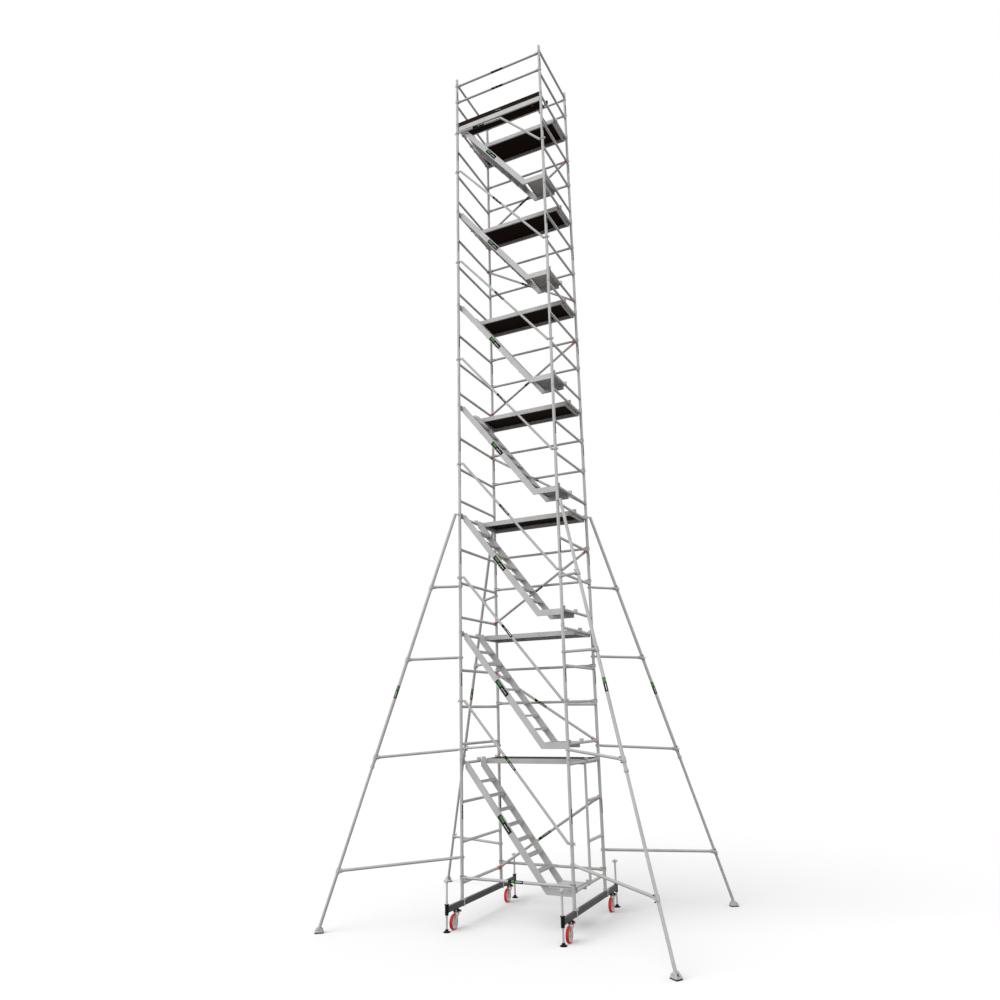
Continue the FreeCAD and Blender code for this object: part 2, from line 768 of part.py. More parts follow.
# ---------------------------------------------------------------- castors, made about their swivel
# Local frame: swivel axis on Z at x = y = 0, wheel behind it on -Y, wheel axle along X.
def caster_fork():
    crown_top = beam_bottom - mount_thickness - moving_gap
    crown_low = crown_top - crown_thickness
    axle_z = wheel_d / 2
    inner = hub_boss_width / 2 + fork_gap
    outer = inner + fork_sheet
    crown = rod(V(0, 0, crown_low), V(0, 0, crown_top), crown_d / 2)
    kingpin = rod(V(0, 0, crown_top), V(0, 0, crown_top + kingpin_length), kingpin_d / 2)
    body = crown.fuse(kingpin)
    boss_r = fork_boss_d / 2
    pivot_z = crown_low - pedal_pivot_drop
    for side in (-1, 1):
        x = side * inner
        shoulder = crown_low + crown_thickness / 4
        outline = [V(x, fork_front, shoulder), V(x, fork_nose, pivot_z + fork_nose_height / 4),
                   V(x, fork_nose, pivot_z - fork_nose_height * 3 / 4),
                   V(x, -caster_trail + boss_r, axle_z), V(x, -caster_trail - boss_r, axle_z),
                   V(x, fork_back, shoulder)]
        sheet = Part.Face(Part.makePolygon(outline + outline[:1])).extrude(V(side * fork_sheet, 0, 0))
        boss = rod(V(side * inner, -caster_trail, axle_z), V(side * outer, -caster_trail, axle_z), boss_r)
        body = body.fuse(sheet).fuse(boss)
    axle_end = outer + axle_head
    axle = rod(V(-axle_end, -caster_trail, axle_z), V(axle_end, -caster_trail, axle_z), axle_d / 2)
    pin_end = outer + pedal_pin_head
    pin = rod(V(-pin_end, pedal_pivot_forward, pivot_z), V(pin_end, pedal_pivot_forward, pivot_z),
              pedal_pin_d / 2)
    return [body.fuse(axle).fuse(pin).removeSplitter()]


def wheel_hub():
    axle_z = wheel_d / 2
    centre = V(0, -caster_trail, axle_z)
    r = hub_d / 2
    rim = ring(centre, X_AXIS, r - hub_rim, r, wheel_width)
    web = ring(centre, X_AXIS, hub_boss_d / 2, r - hub_rim, hub_web)
    boss = ring(centre, X_AXIS, axle_d / 2 + running_gap, hub_boss_d / 2, hub_boss_width)
    return [rim.fuse(web).fuse(boss).removeSplitter()]


def wheel_tyre():
    centre = V(0, -caster_trail, wheel_d / 2)
    band = ring(centre, X_AXIS, hub_d / 2, wheel_d / 2, wheel_width)
    rims = [edge for edge in band.Edges if abs(edge.BoundBox.ZLength - wheel_d) < 0.01]
    return [band.makeFillet(wheel_edge_round, rims)]


def brake_pedal():
    crown_low = beam_bottom - mount_thickness - moving_gap - crown_thickness
    pivot = V(0, pedal_pivot_forward, crown_low - pedal_pivot_drop)
    width = hub_boss_width / 2
    hub = rod(pivot - X_AXIS * width, pivot + X_AXIS * width, pedal_hub_d / 2)
    tread = box(-pedal_width / 2, pedal_width / 2, pivot.y, pivot.y + pedal_length,
                pivot.z - pedal_thickness / 2, pivot.z + pedal_thickness / 2)
    lip = box(-pedal_width / 2, pedal_width / 2, pivot.y + pedal_length - pedal_lip, pivot.y + pedal_length,
              pivot.z - pedal_lip_drop - pedal_thickness / 2, pivot.z + pedal_thickness / 2)
    body = hub.fuse(tread).fuse(lip)
    bore = rod(pivot - X_AXIS * (width + 1), pivot + X_AXIS * (width + 1), pedal_pin_d / 2 + running_gap)
    return [turned(body.cut(bore).removeSplitter(), pedal_rise, pivot, X_AXIS)]


# ---------------------------------------------------------------- outriggers, made about their post
# Local frame: post axis on Z, the leg spreads along +X.
outrigger_radius = math.hypot(outrigger_reach_x, outrigger_reach_y)
leg_top = V(outrigger_top_offset, 0, outrigger_top_height)
leg_pivot = V(outrigger_radius, 0, pivot_height)
leg_dir = (leg_pivot - leg_top).normalize()


def leg_point(z):
    return leg_top + (leg_pivot - leg_top) * ((leg_top.z - z) / (leg_top.z - leg_pivot.z))


def post_clamp(z):
    inner = post_r + running_gap
    return ring(V(0, 0, z), Z_AXIS, inner, inner + clamp_wall, clamp_height)


def strut_and_fittings(post_z, leg_z):
    """Level strut: post clamp with its link, tube, and the coupler on the leg with its cup."""
    centre = leg_point(leg_z)
    on_lower_leg = leg_z < leg_split_height
    grip = leg_inner_d / 2 + running_gap if on_lower_leg else leg_d / 2 + assembly_gap
    half = leg_dir * (coupler_length / 2)
    leg_core = rod(centre - half * 3, centre + half * 3, grip)
    post = V(0, 0, post_z)
    along = (centre - post).normalize()
    tube_start = post + along * strut_gap
    tube_end = centre - along * (grip + coupler_wall + strut_d / 4)
    bore = strut_d / 2 - strut_wall
    bar = tube(tube_start, tube_end, strut_d / 2, strut_wall)
    clamp_core = post_core(0, 0, post_z - clamp_height, post_z + clamp_height,
                           2 * (post_r + running_gap + clamp_wall / 2))
    link = rod(post, tube_start, strut_link_d / 2).cut(clamp_core)
    link = link.fuse(rod(tube_start, tube_start + along * strut_plug, bore))
    clamp = post_clamp(post_z).fuse(link).removeSplitter()
    coupler = rod(centre - half, centre + half, grip + coupler_wall)
    cup_start = tube_end - along * coupler_cup
    cup = rod(cup_start, centre, strut_d / 2 + coupler_wall).cut(rod(cup_start, tube_end, strut_d / 2))
    coupler = coupler.cut(rod(cup_start, tube_end, strut_d / 2))
    coupler = coupler.fuse(cup).cut(leg_core).removeSplitter()
    return [clamp, coupler, bar]


def outrigger():
    solids = []
    bore = leg_inner_d / 2 + running_gap
    split = leg_point(leg_split_height)
    solids.append(tube(leg_top, split, leg_d / 2, leg_d / 2 - bore))
    collar_end = split - leg_dir * leg_collar
    solids.append(tube(collar_end, split, leg_d / 2 + coupler_wall, coupler_wall - assembly_gap / 2))
    arm = rod(V(0, 0, outrigger_top_height), leg_top, strut_link_d / 2)
    arm_core = post_core(0, 0, outrigger_top_height - clamp_height, outrigger_top_height + clamp_height,
                         2 * (post_r + running_gap + clamp_wall / 2))
    arm = arm.cut(arm_core).cut(rod(leg_top - leg_dir * post_d, split, leg_d / 2))
    solids.append(post_clamp(outrigger_top_height).fuse(arm).removeSplitter())
    for post_z, leg_z in zip(strut_post_heights, strut_leg_heights):
        solids += strut_and_fittings(post_z, leg_z)
    return solids


def leg_lower():
    """Inner leg tube, which telescopes in the upper one, and its end fitting on the pad's pin."""
    start = leg_point(leg_split_height) - leg_dir * leg_overlap
    end = leg_pivot - leg_dir * (eye_d / 2 + moving_gap)
    bar = tube(start, end, leg_inner_d / 2, leg_inner_wall)
    eye = rod(leg_pivot - Y_AXIS * (eye_width / 2), leg_pivot + Y_AXIS * (eye_width / 2), eye_d / 2)
    plug = rod(leg_pivot - leg_dir * plug_length, leg_pivot, leg_inner_d / 2 - leg_inner_wall - assembly_gap)
    pin = rod(leg_pivot - Y_AXIS * eye_width, leg_pivot + Y_AXIS * eye_width, pad_pin_d / 2 + running_gap)
    return [bar, eye.fuse(plug).cut(pin)]


def outrigger_pad():
    x = outrigger_radius
    half_x = pad_length / 2
    half_y = pad_width / 2
    sole = box(x - half_x, x + half_x, -half_y, half_y, 0, pad_sole)
    plate_top = pad_sole + pad_plate
    plate_x = half_x - pad_plate_inset
    plate_y = half_y - pad_plate_inset
    plate = box(x - plate_x, x + plate_x, -plate_y, plate_y, pad_sole, plate_top)
    inner = eye_width / 2 + moving_gap
    body = plate
    for side in (-1, 1):
        lug = box(x - pad_lug_length / 2, x + pad_lug_length / 2, side * inner, side * (inner + pad_lug),
                  plate_top, pivot_height)
        cap = rod(V(x, side * inner, pivot_height), V(x, side * (inner + pad_lug), pivot_height),
                  pad_lug_length / 2)
        body = body.fuse(lug).fuse(cap)
    reach = inner + pad_lug + pad_pin_head
    pin = rod(V(x, -reach, pivot_height), V(x, reach, pivot_height), pad_pin_d / 2)
    return [sole, body.fuse(pin).removeSplitter()]


# ---------------------------------------------------------------- the whole tower
def main():
    os.makedirs("parts", exist_ok=True)
    export("base_beams", base_beams())
    export("jack_sleeves", jack_sleeves())
    export("beam_clamps", beam_clamps())
    export("caster_mounts", caster_mounts())
    export("frames_left", ladder_frames(-half_bay, 1))
    export("frames_right", ladder_frames(half_bay, 2))
    export("portal_frame", portal_frame())
    export("guard_frames", guard_frames())
    level_bars, level_locks = horizontal_braces()
    export("horizontal_braces", level_bars)
    export("brace_locks_green", level_locks)
    slant_bars, slant_locks = diagonal_braces()
    export("diagonal_braces", slant_bars)
    export("brace_locks_red", slant_locks)
    export("handrails", handrails())
    decks = range(1, storeys + 1)
    export("deck_frames", [solid for deck in decks for solid in deck_frame(deck)])
    export("deck_panels", [deck_panel_board(deck) for deck in decks])
    for flight in decks:
        export("stair_%d" % flight, stair(flight))
    export("narrow_deck", narrow_deck())
    export("toe_board", toe_board())

    for corner, (sx, sy) in corners.items():
        x = sx * half_bay
        jack_x = x + base_offset
        export("jack_spindle_" + corner, jack_spindle(jack_x, sy * jack_y))
        export("jack_foot_" + corner, jack_foot(jack_x, sy * jack_y))
        wheel_parts = {"caster_fork_": caster_fork(), "wheel_hub_": wheel_hub(),
                       "wheel_tyre_": wheel_tyre(), "brake_pedal_": brake_pedal()}
        for name, solids in wheel_parts.items():
            placed = [shifted(turned(solid, caster_rest_angle), x + caster_offset, sy * caster_y, 0)
                      for solid in solids]
            export(name + corner, placed)
        azimuth = math.degrees(math.atan2(sy * outrigger_reach_y, sx * outrigger_reach_x))
        leg_parts = {"outrigger_": outrigger(), "leg_lower_": leg_lower(), "outrigger_pad_": outrigger_pad()}
        for name, solids in leg_parts.items():
            placed = [shifted(turned(solid, azimuth), x, sy * half_width, 0) for solid in solids]
            export(name + corner, placed)


main()
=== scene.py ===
import json
import math

import bmesh
import bpy
from mathutils import Matrix, Vector


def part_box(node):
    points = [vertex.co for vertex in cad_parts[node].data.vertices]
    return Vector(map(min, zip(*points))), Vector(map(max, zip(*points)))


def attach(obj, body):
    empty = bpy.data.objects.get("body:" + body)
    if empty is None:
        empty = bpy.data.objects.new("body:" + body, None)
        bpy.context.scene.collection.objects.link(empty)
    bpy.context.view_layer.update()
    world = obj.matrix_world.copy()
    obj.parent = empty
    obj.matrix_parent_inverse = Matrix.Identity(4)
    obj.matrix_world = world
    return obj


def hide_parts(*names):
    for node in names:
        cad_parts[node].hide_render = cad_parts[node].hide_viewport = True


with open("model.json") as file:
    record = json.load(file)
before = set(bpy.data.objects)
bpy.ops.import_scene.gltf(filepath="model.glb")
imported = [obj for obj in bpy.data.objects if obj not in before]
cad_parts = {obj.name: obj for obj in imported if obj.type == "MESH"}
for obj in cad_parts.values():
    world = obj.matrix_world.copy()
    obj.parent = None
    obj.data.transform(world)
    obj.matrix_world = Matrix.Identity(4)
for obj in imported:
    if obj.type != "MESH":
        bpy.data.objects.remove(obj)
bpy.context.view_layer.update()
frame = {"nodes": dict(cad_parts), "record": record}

# ---------------------------------------------------------------- materials
# Colours are linear. Object coordinates are the frame of the part, in metres.


def new_material(name, colour, metallic, roughness):
    """New node material, and its Principled shader."""
    material = bpy.data.materials.new(name)
    material.use_nodes = True
    shader = material.node_tree.nodes["Principled BSDF"]
    shader.inputs["Base Color"].default_value = (*colour, 1.0)
    shader.inputs["Metallic"].default_value = metallic
    shader.inputs["Roughness"].default_value = roughness
    return material, shader


def node(material, kind, **settings):
    made = material.node_tree.nodes.new(kind)
    for key, value in settings.items():
        setattr(made, key, value)
    return made


def link(material, source, target):
    material.node_tree.links.new(source, target)


def coordinates(material, scale):
    """Object coordinates, scaled along each axis."""
    source = node(material, "ShaderNodeTexCoord")
    mapping = node(material, "ShaderNodeMapping")
    mapping.inputs["Scale"].default_value = scale
    link(material, source.outputs["Object"], mapping.inputs["Vector"])
    return mapping.outputs["Vector"]


def noise(material, scale, detail):
    made = node(material, "ShaderNodeTexNoise")
    made.inputs["Scale"].default_value = 1.0
    made.inputs["Detail"].default_value = detail
    link(material, coordinates(material, scale), made.inputs["Vector"])
    return made.outputs["Fac"]


def remap(material, value, low, high, from_low=0.3, from_high=0.7):
    made = node(material, "ShaderNodeMapRange")
    made.inputs["From Min"].default_value = from_low
    made.inputs["From Max"].default_value = from_high
    made.inputs["To Min"].default_value = low
    made.inputs["To Max"].default_value = high
    link(material, value, made.inputs["Value"])
    return made.outputs["Result"]


def mix_colours(material, factor, first, second):
    made = node(material, "ShaderNodeMix", data_type="RGBA")
    made.inputs["A"].default_value = (*first, 1.0)
    made.inputs["B"].default_value = (*second, 1.0)
    link(material, factor, made.inputs["Factor"])
    return made.outputs["Result"]


def bump(material, shader, height, strength, distance):
    made = node(material, "ShaderNodeBump")
    made.inputs["Strength"].default_value = strength
    made.inputs["Distance"].default_value = distance
    link(material, height, made.inputs["Height"])
    link(material, made.outputs["Normal"], shader.inputs["Normal"])


def shade_of(colour, factor):
    return tuple(channel * factor for channel in colour)


ALONG_POST = (220.0, 220.0, 3.0)
ALONG_TUBE = (3.0, 220.0, 220.0)
NO_GRAIN = (90.0, 90.0, 90.0)
SPECKLE = (260.0, 260.0, 260.0)
PLY_ROUGHNESS, PLY_SPECULAR, PLY_BANDS = 0.6, 0.03, 18.0


def aluminium(name, colour, roughness, grain):
    """Satin aluminium: cloudy tone, fine drawing lines along the grain, patchy roughness."""
    material, shader = new_material(name, colour, 0.5, roughness)
    clouds = noise(material, (3.0, 3.0, 3.0), 4.0)
    tone = mix_colours(material, remap(material, clouds, 0.0, 1.0),
                       shade_of(colour, 0.90), shade_of(colour, 1.06))
    link(material, tone, shader.inputs["Base Color"])
    lines = noise(material, grain, 2.0)
    patches = remap(material, lines, roughness - 0.07, roughness + 0.09)
    link(material, patches, shader.inputs["Roughness"])
    bump(material, shader, lines, 0.12, 0.0006)
    return material


def paint(name, colour, roughness, specular):
    """Coated steel or moulded plastic: slight tone change and a fine orange-peel bump."""
    material, shader = new_material(name, colour, 0.0, roughness)
    shader.inputs["Specular IOR Level"].default_value = specular
    clouds = noise(material, (5.0, 5.0, 5.0), 3.0)
    tone = mix_colours(material, remap(material, clouds, 0.0, 1.0),
                       shade_of(colour, 0.85), shade_of(colour, 1.12))
    link(material, tone, shader.inputs["Base Color"])
    grain = noise(material, SPECKLE, 2.0)
    patches = remap(material, grain, roughness - 0.05, roughness + 0.08)
    link(material, patches, shader.inputs["Roughness"])
    bump(material, shader, grain, 0.15, 0.0004)
    return material


def plywood(name, colour, ribs):
    """Film-faced board: dark film with a pressed grip pattern."""
    material, shader = new_material(name, colour, 0.0, PLY_ROUGHNESS)
    shader.inputs["Specular IOR Level"].default_value = PLY_SPECULAR
    clouds = noise(material, (2.0, 7.0, 2.0), 5.0)
    tone = mix_colours(material, remap(material, clouds, 0.0, 1.0),
                       shade_of(colour, 0.86), shade_of(colour, 1.14))
    link(material, tone, shader.inputs["Base Color"])
    wave = node(material, "ShaderNodeTexWave", wave_type="BANDS", bands_direction=ribs)
    wave.inputs["Scale"].default_value = PLY_BANDS
    link(material, coordinates(material, (1.0, 1.0, 1.0)), wave.inputs["Vector"])
    bump(material, shader, wave.outputs["Fac"], 0.35, 0.0010)
    return material


MATERIALS = {
    "tube_aluminium": aluminium("tube_aluminium", (0.430, 0.432, 0.440), 0.40, ALONG_POST),
    "brace_aluminium": aluminium("brace_aluminium", (0.410, 0.408, 0.405), 0.40, ALONG_TUBE),
    "deck_aluminium": aluminium("deck_aluminium", (0.440, 0.442, 0.448), 0.40, ALONG_TUBE),
    "stair_aluminium": aluminium("stair_aluminium", (0.430, 0.430, 0.434), 0.42, ALONG_TUBE),
    "cast_aluminium": paint("cast_aluminium", (0.36, 0.36, 0.355), 0.5, 0.3),
    "zinc_steel": aluminium("zinc_steel", (0.50, 0.50, 0.505), 0.36, NO_GRAIN),
    "deck_plywood": plywood("deck_plywood", (0.0135, 0.0080, 0.0062), "DIAGONAL"),
    "toe_board_plywood": plywood("toe_board_plywood", (0.0130, 0.0078, 0.0062), "Z"),
    "beam_paint": paint("beam_paint", (0.066, 0.066, 0.065), 0.45, 0.15),
    "black_paint": paint("black_paint", (0.0075, 0.0075, 0.0075), 0.5, 0.06),
    "foot_rubber": paint("foot_rubber", (0.010, 0.010, 0.011), 0.6, 0.15),
    "green_plastic": paint("green_plastic", (0.045, 0.16, 0.035), 0.42, 0.3),
    "red_plastic": paint("red_plastic", (0.50, 0.03, 0.012), 0.38, 0.35),
    "red_tyre": paint("red_tyre", (0.48, 0.020, 0.010), 0.45, 0.3),
    "hub_nylon": paint("hub_nylon", (0.50, 0.53, 0.54), 0.45, 0.35),
}


def paint_cad_nodes():
    for entry in frame["record"]["subparts"]:
        part = frame["nodes"][entry["node"]]
        part.data.materials.clear()
        part.data.materials.append(MATERIALS[entry["material_slot"]])


# ---------------------------------------------------------------- sizes of the tower, in metres
HALF_BAY = 0.885
HALF_WIDTH = 0.650
STOREYS = 7
STOREY = 1.960
FRAME_BASE = 0.340
POST_R = 0.025
RUNG_R = 0.021
RUNG_PITCH = 0.560
FIRST_RUNG = 0.210
GUARD_RUNGS = (0.430, 0.950)
TOP_DROP = 0.070
PORTAL_Y, PORTAL_R = 0.025, 0.020
BRACE_R = 0.021
BRACE_GAP = 0.062
SOCKET_R = 0.0238        # the braces' end sockets
CLIP_REACH = 0.0333      # outside of a handrail clip, from the middle of its post
DIAGONAL_Y = HALF_WIDTH - 0.068
BASE_BRACE = 0.350
BRACE_HEIGHTS = (0.890, 1.450)
GUARDRAIL_HEIGHTS = (0.580, 0.965)
HANDRAIL_R = 0.020
DECK_TOP = 0.030
DECK_END = HALF_BAY - 0.030
DECK_Y0, DECK_Y1 = 0.040, 0.630
DECK_RAIL_WIDTH, DECK_RAIL_HEIGHT = 0.025, 0.075
STAIR_Y0, STAIR_Y1 = -0.604, -0.058
STRINGER_WIDTH, STRINGER_DEPTH = 0.025, 0.093
STAIR_HEAD_X = -HALF_BAY + 0.045
STAIR_KNEE_X = HALF_BAY - 0.415
LANDING_END_X = HALF_BAY - 0.032
LANDING_RISE = 0.020
TREADS, TREAD_RISE, TREAD_DEPTH, TREAD_THICKNESS = 7, 0.200, 0.100, 0.030
BASE_OFFSET = 0.014
BEAM_BOTTOM, BEAM_TOP, BEAM_HALF = 0.248, 0.328, 0.020
JACK_Y = 1.125
CASTER_OFFSET, CASTER_Y, CASTER_TRAIL, CASTER_ANGLE = 0.030, 0.880, 0.080, 2.5
WHEEL_R, WHEEL_HALF, HUB_R = 0.100, 0.022, 0.085
PEDAL_Y, PEDAL_Z, PEDAL_RISE = 0.032, 0.200, 8.0
REACH_X, REACH_Y = 1.675, 1.180
LEG_TOP = (0.072, 6.194)
LEG_PIVOT_Z = 0.060
LEG_R, LEG_LOWER_R, LEG_SPLIT = 0.025, 0.022, 2.200
STRUTS = ((4.975, 4.955), (3.830, 3.804), (2.434, 2.350), (0.900, 0.797))
CORNERS = {"fl": (-1, -1), "fr": (1, -1), "bl": (-1, 1), "br": (1, 1)}
NARROW_Y = (-0.622, -0.410)
NARROW_START, NARROW_DROP, NARROW_HOOK_Y = 0.165, 0.060, -0.3975
CLAMP_R = POST_R + 0.0092
SLEEVE_R = 0.0330        # the sleeve where a leg telescopes
CLAMPED_JOINT = 4        # the outriggers' top clamps sit on this joint of the posts
STICKER = 0.0006
POST_LABEL = 0.200
JACK_CORE_R = 0.0138
FORK_SHEET, FORK_SHEET_X, FORK_FACE_X = 0.005, 0.026, 0.0285


def frame_foot(storey):
    return FRAME_BASE + STOREY * (storey - 1)


def level(deck):
    return FRAME_BASE + STOREY * deck - TOP_DROP


def rung_z(storey, rung):
    return frame_foot(storey) + FIRST_RUNG + RUNG_PITCH * rung


# ---------------------------------------------------------------- mesh helpers
class Shape:
    """Collects vertices and faces of one piece."""

    def __init__(self):
        self.verts = []
        self.faces = []

    def join(self, other, matrix=None):
        start = len(self.verts)
        verts = other.verts
        if matrix is not None:
            verts = [matrix @ Vector(vert) for vert in verts]
        self.verts += [tuple(vert) for vert in verts]
        self.faces += [tuple(index + start for index in face) for face in other.faces]
        return self

    def piece(self, name, slot, body="root", replaces=(), sharp=35.0):
        mesh = bpy.data.meshes.new(name)
        mesh.from_pydata(self.verts, [], self.faces)
        cleaned = bmesh.new()
        cleaned.from_mesh(mesh)
        bmesh.ops.recalc_face_normals(cleaned, faces=cleaned.faces)
        cleaned.to_mesh(mesh)
        cleaned.free()
        mesh.shade_smooth()
        mesh.set_sharp_from_angle(angle=math.radians(sharp))
        mesh.materials.append(MATERIALS[slot])
        made = bpy.data.objects.new(name, mesh)
        bpy.context.collection.objects.link(made)
        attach(made, body)
        if replaces:
            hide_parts(*replaces)
        return made


def frame_of(origin, z_axis, x_hint=(1.0, 0.0, 0.0)):
    """Matrix whose Z follows z_axis and whose X leans to x_hint."""
    z = Vector(z_axis).normalized()
    x = Vector(x_hint) - z * z.dot(Vector(x_hint))
    if x.length < 1e-6:
        x = z.orthogonal()
    x.normalize()
    y = z.cross(x)
    return Matrix.Translation(origin) @ Matrix((x, y, z)).transposed().to_4x4()


def lathe(profile, sides, closed=False):
    """Turns a profile of (radius, height) about Z. A closed profile makes a ring."""
    shape = Shape()
    for step in range(sides):
        angle = 2 * math.pi * step / sides
        for radius, height in profile:
            shape.verts.append((radius * math.cos(angle), radius * math.sin(angle), height))
    count = len(profile)
    rows = count if closed else count - 1
    for step in range(sides):
        here = step * count
        there = (step + 1) % sides * count
        for row in range(rows):
            above = (row + 1) % count
            shape.faces.append((here + row, there + row, there + above, here + above))
    return shape


def torus(ring_r, wire_r, sides, around):
    angles = [2 * math.pi * step / around for step in range(around)]
    profile = [(ring_r + wire_r * math.cos(angle), wire_r * math.sin(angle)) for angle in angles]
    return lathe(profile, sides, closed=True)


def bevelled(made, bevel, segments):
    """Rounds every edge of a bmesh and turns it into a shape."""
    bmesh.ops.bevel(made, geom=made.edges[:], offset=bevel, segments=segments, profile=0.5,
                    affect="EDGES")
    made.verts.ensure_lookup_table()
    made.verts.index_update()
    shape = Shape()
    shape.verts = [tuple(vert.co) for vert in made.verts]
    shape.faces = [tuple(vert.index for vert in face.verts) for face in made.faces]
    made.free()
    return shape


def soft_box(size, bevel, segments=2):
    """Box about its centre with rounded edges."""
    made = bmesh.new()
    bmesh.ops.create_cube(made, size=1.0)
    bmesh.ops.scale(made, vec=size, verts=made.verts)
    return bevelled(made, bevel, segments)


def soft_plate(outline, thickness, bevel):
    """Plate with rounded edges from an outline in XY, centred on Z."""
    made = bmesh.new()
    low = [made.verts.new((x, y, -thickness / 2)) for x, y in outline]
    face = made.faces.new(low)
    grown = bmesh.ops.extrude_face_region(made, geom=[face])
    moved = [item for item in grown["geom"] if isinstance(item, bmesh.types.BMVert)]
    bmesh.ops.translate(made, vec=(0, 0, thickness), verts=moved)
    return bevelled(made, bevel, 2)


def extrusion(outline, length):
    """Closed prism from an outline in XY, from z = 0 to its length."""
    count = len(outline)
    shape = Shape()
    shape.verts = [(x, y, 0.0) for x, y in outline] + [(x, y, length) for x, y in outline]
    shape.faces = [(i, (i + 1) % count, (i + 1) % count + count, i + count) for i in range(count)]
    shape.faces += [tuple(range(count)), tuple(range(2 * count - 1, count - 1, -1))]
    return shape


def hex_bolt(width, height, washer):
    """Hexagon head on a washer of the given radius, with its seat at z = 0."""
    seat = 0.0024
    shape = Shape()
    rim = [(0, 0), (washer, 0), (washer, seat * 0.75), (washer - 0.001, seat), (0, seat)]
    shape.join(lathe(rim, 20))
    radius = width / math.sqrt(3)
    top = seat + height
    shape.join(lathe([(radius, 0.002), (radius, top - 0.001), (radius - 0.0015, top), (0, top)], 6))
    return shape


def rivet(radius=0.005):
    dome = [(1.0, 0.0), (0.86, 0.3), (0.5, 0.5), (0.0, 0.55)]
    return lathe([(radius * out, radius * rise) for out, rise in dome], 10)


def wing_nut(span):
    shape = Shape()
    shape.join(lathe([(0.010, 0), (0.010, 0.004), (0.007, 0.014), (0, 0.015)], 14))
    ear = soft_box((span * 0.36, 0.004, 0.020), 0.0018)
    for side in (-1, 1):
        lean = Matrix.Translation((side * span * 0.30, 0, 0.016)) @ Matrix.Rotation(side * 0.45, 4, "Y")
        shape.join(ear, lean)
    return shape


def arc_sleeve(start, end, radius, facing, span, lift=STICKER):
    """Sticker that lies round part of a tube, centred on the way it faces."""
    along = Vector(end) - Vector(start)
    length = along.length
    matrix = frame_of(start, along, facing)
    steps = max(4, int(span / 12))
    shape = Shape()
    count = steps + 1
    for reach in (radius + lift * 0.1, radius + lift):
        for z in (0.0, length):
            for step in range(count):
                angle = math.radians(span * (step / steps - 0.5))
                shape.verts.append((reach * math.cos(angle), reach * math.sin(angle), z))
    low_in, top_in, low_out, top_out = 0, count, 2 * count, 3 * count
    for step in range(steps):
        for a, b in ((low_in, top_in), (low_out, top_out), (low_in, low_out), (top_in, top_out)):
            shape.faces.append((a + step, a + step + 1, b + step + 1, b + step))
    for step in (0, steps):
        shape.faces.append((low_in + step, top_in + step, top_out + step, low_out + step))
    return Shape().join(shape, matrix)


class Labels:
    """Blank stickers: a black strip with a green field near its upper end."""

    def __init__(self):
        self.black = Shape()
        self.green = Shape()
        self.pale = Shape()

    def on_tube(self, start, end, middle, length, radius, facing, span, green):
        """Curved sticker; the green field takes the given shares of its length."""
        start, end = Vector(start), Vector(end)
        along = (end - start).normalized()
        first = start + along * (middle - length / 2)
        self.black.join(arc_sleeve(first, first + along * length, radius, facing, span))
        field = first + along * length * green[0]
        field_end = first + along * length * green[1]
        self.green.join(arc_sleeve(field, field_end, radius, facing, span * 0.62, STICKER * 1.8))
        line = first + along * length * (green[1] + 0.08)
        line_end = first + along * length * 0.92
        self.pale.join(arc_sleeve(line, line_end, radius, facing, span * 0.10, STICKER * 1.8))

    def on_plate(self, centre, along, facing, length, width):
        """Flat sticker; along runs from its upper end to its lower end."""
        matrix = frame_of(centre, facing, along)
        self.black.join(soft_box((length, width, STICKER * 2), STICKER * 0.6, 1), matrix)
        rise = Matrix.Translation((-length * 0.26, width * 0.08, STICKER))
        field = soft_box((length * 0.34, width * 0.46, STICKER), STICKER * 0.3, 1)
        self.green.join(field, matrix @ rise)
        lower = Matrix.Translation((length * 0.20, -width * 0.06, STICKER))
        line = soft_box((length * 0.42, width * 0.10, STICKER), STICKER * 0.3, 1)
        self.pale.join(line, matrix @ lower)

    def pieces(self, stem, body="root"):
        self.black.piece(stem + "_black", "black_paint", body)
        self.green.piece(stem + "_green", "green_plastic", body)
        self.pale.piece(stem + "_pale", "hub_nylon", body)


# ---------------------------------------------------------------- frames
def rung_places():
    """(x, y from, y to, z) of every rung of the frames."""
    places = []
    for side in (-1, 1):
        x = side * HALF_BAY
        for storey in range(1, STOREYS + 1):
            for rung in range(4):
                inner = side > 0 and storey == 1 and rung in (1, 2)
                y0 = PORTAL_Y + PORTAL_R if inner else -HALF_WIDTH + POST_R
                places.append((x, y0, HALF_WIDTH - POST_R, rung_z(storey, rung)))
        for height in GUARD_RUNGS:
            z = frame_foot(STOREYS + 1) + height
            places.append((x, -HALF_WIDTH + POST_R, HALF_WIDTH - POST_R, z))
    return places


def ribbed_rungs():
    """Grip ribs along every rung, and a weld bead where it meets a post."""
    ribs = 24
    outline = []
    for step in range(ribs * 2):
        angle = math.pi * step / ribs
        radius = RUNG_R + (0.0009 if step % 2 else 0.0002)
        outline.append((radius * math.cos(angle), radius * math.sin(angle)))
    sleeves = Shape()
    beads = Shape()
    bead = torus(RUNG_R + 0.0015, 0.0034, 24, 6)
    margin = 0.006
    for x, y0, y1, z in rung_places():
        matrix = frame_of((x, y0 + margin, z), (0, 1, 0))
        sleeves.join(extrusion(outline, y1 - y0 - 2 * margin), matrix)
        for y, way in ((y0, 1), (y1, -1)):
            beads.join(bead, frame_of((x, y + way * 0.0015, z), (0, 1, 0)))
    sleeves.piece("rung_grip_ribs", "tube_aluminium", sharp=20)
    beads.piece("rung_weld_beads", "tube_aluminium", sharp=60)


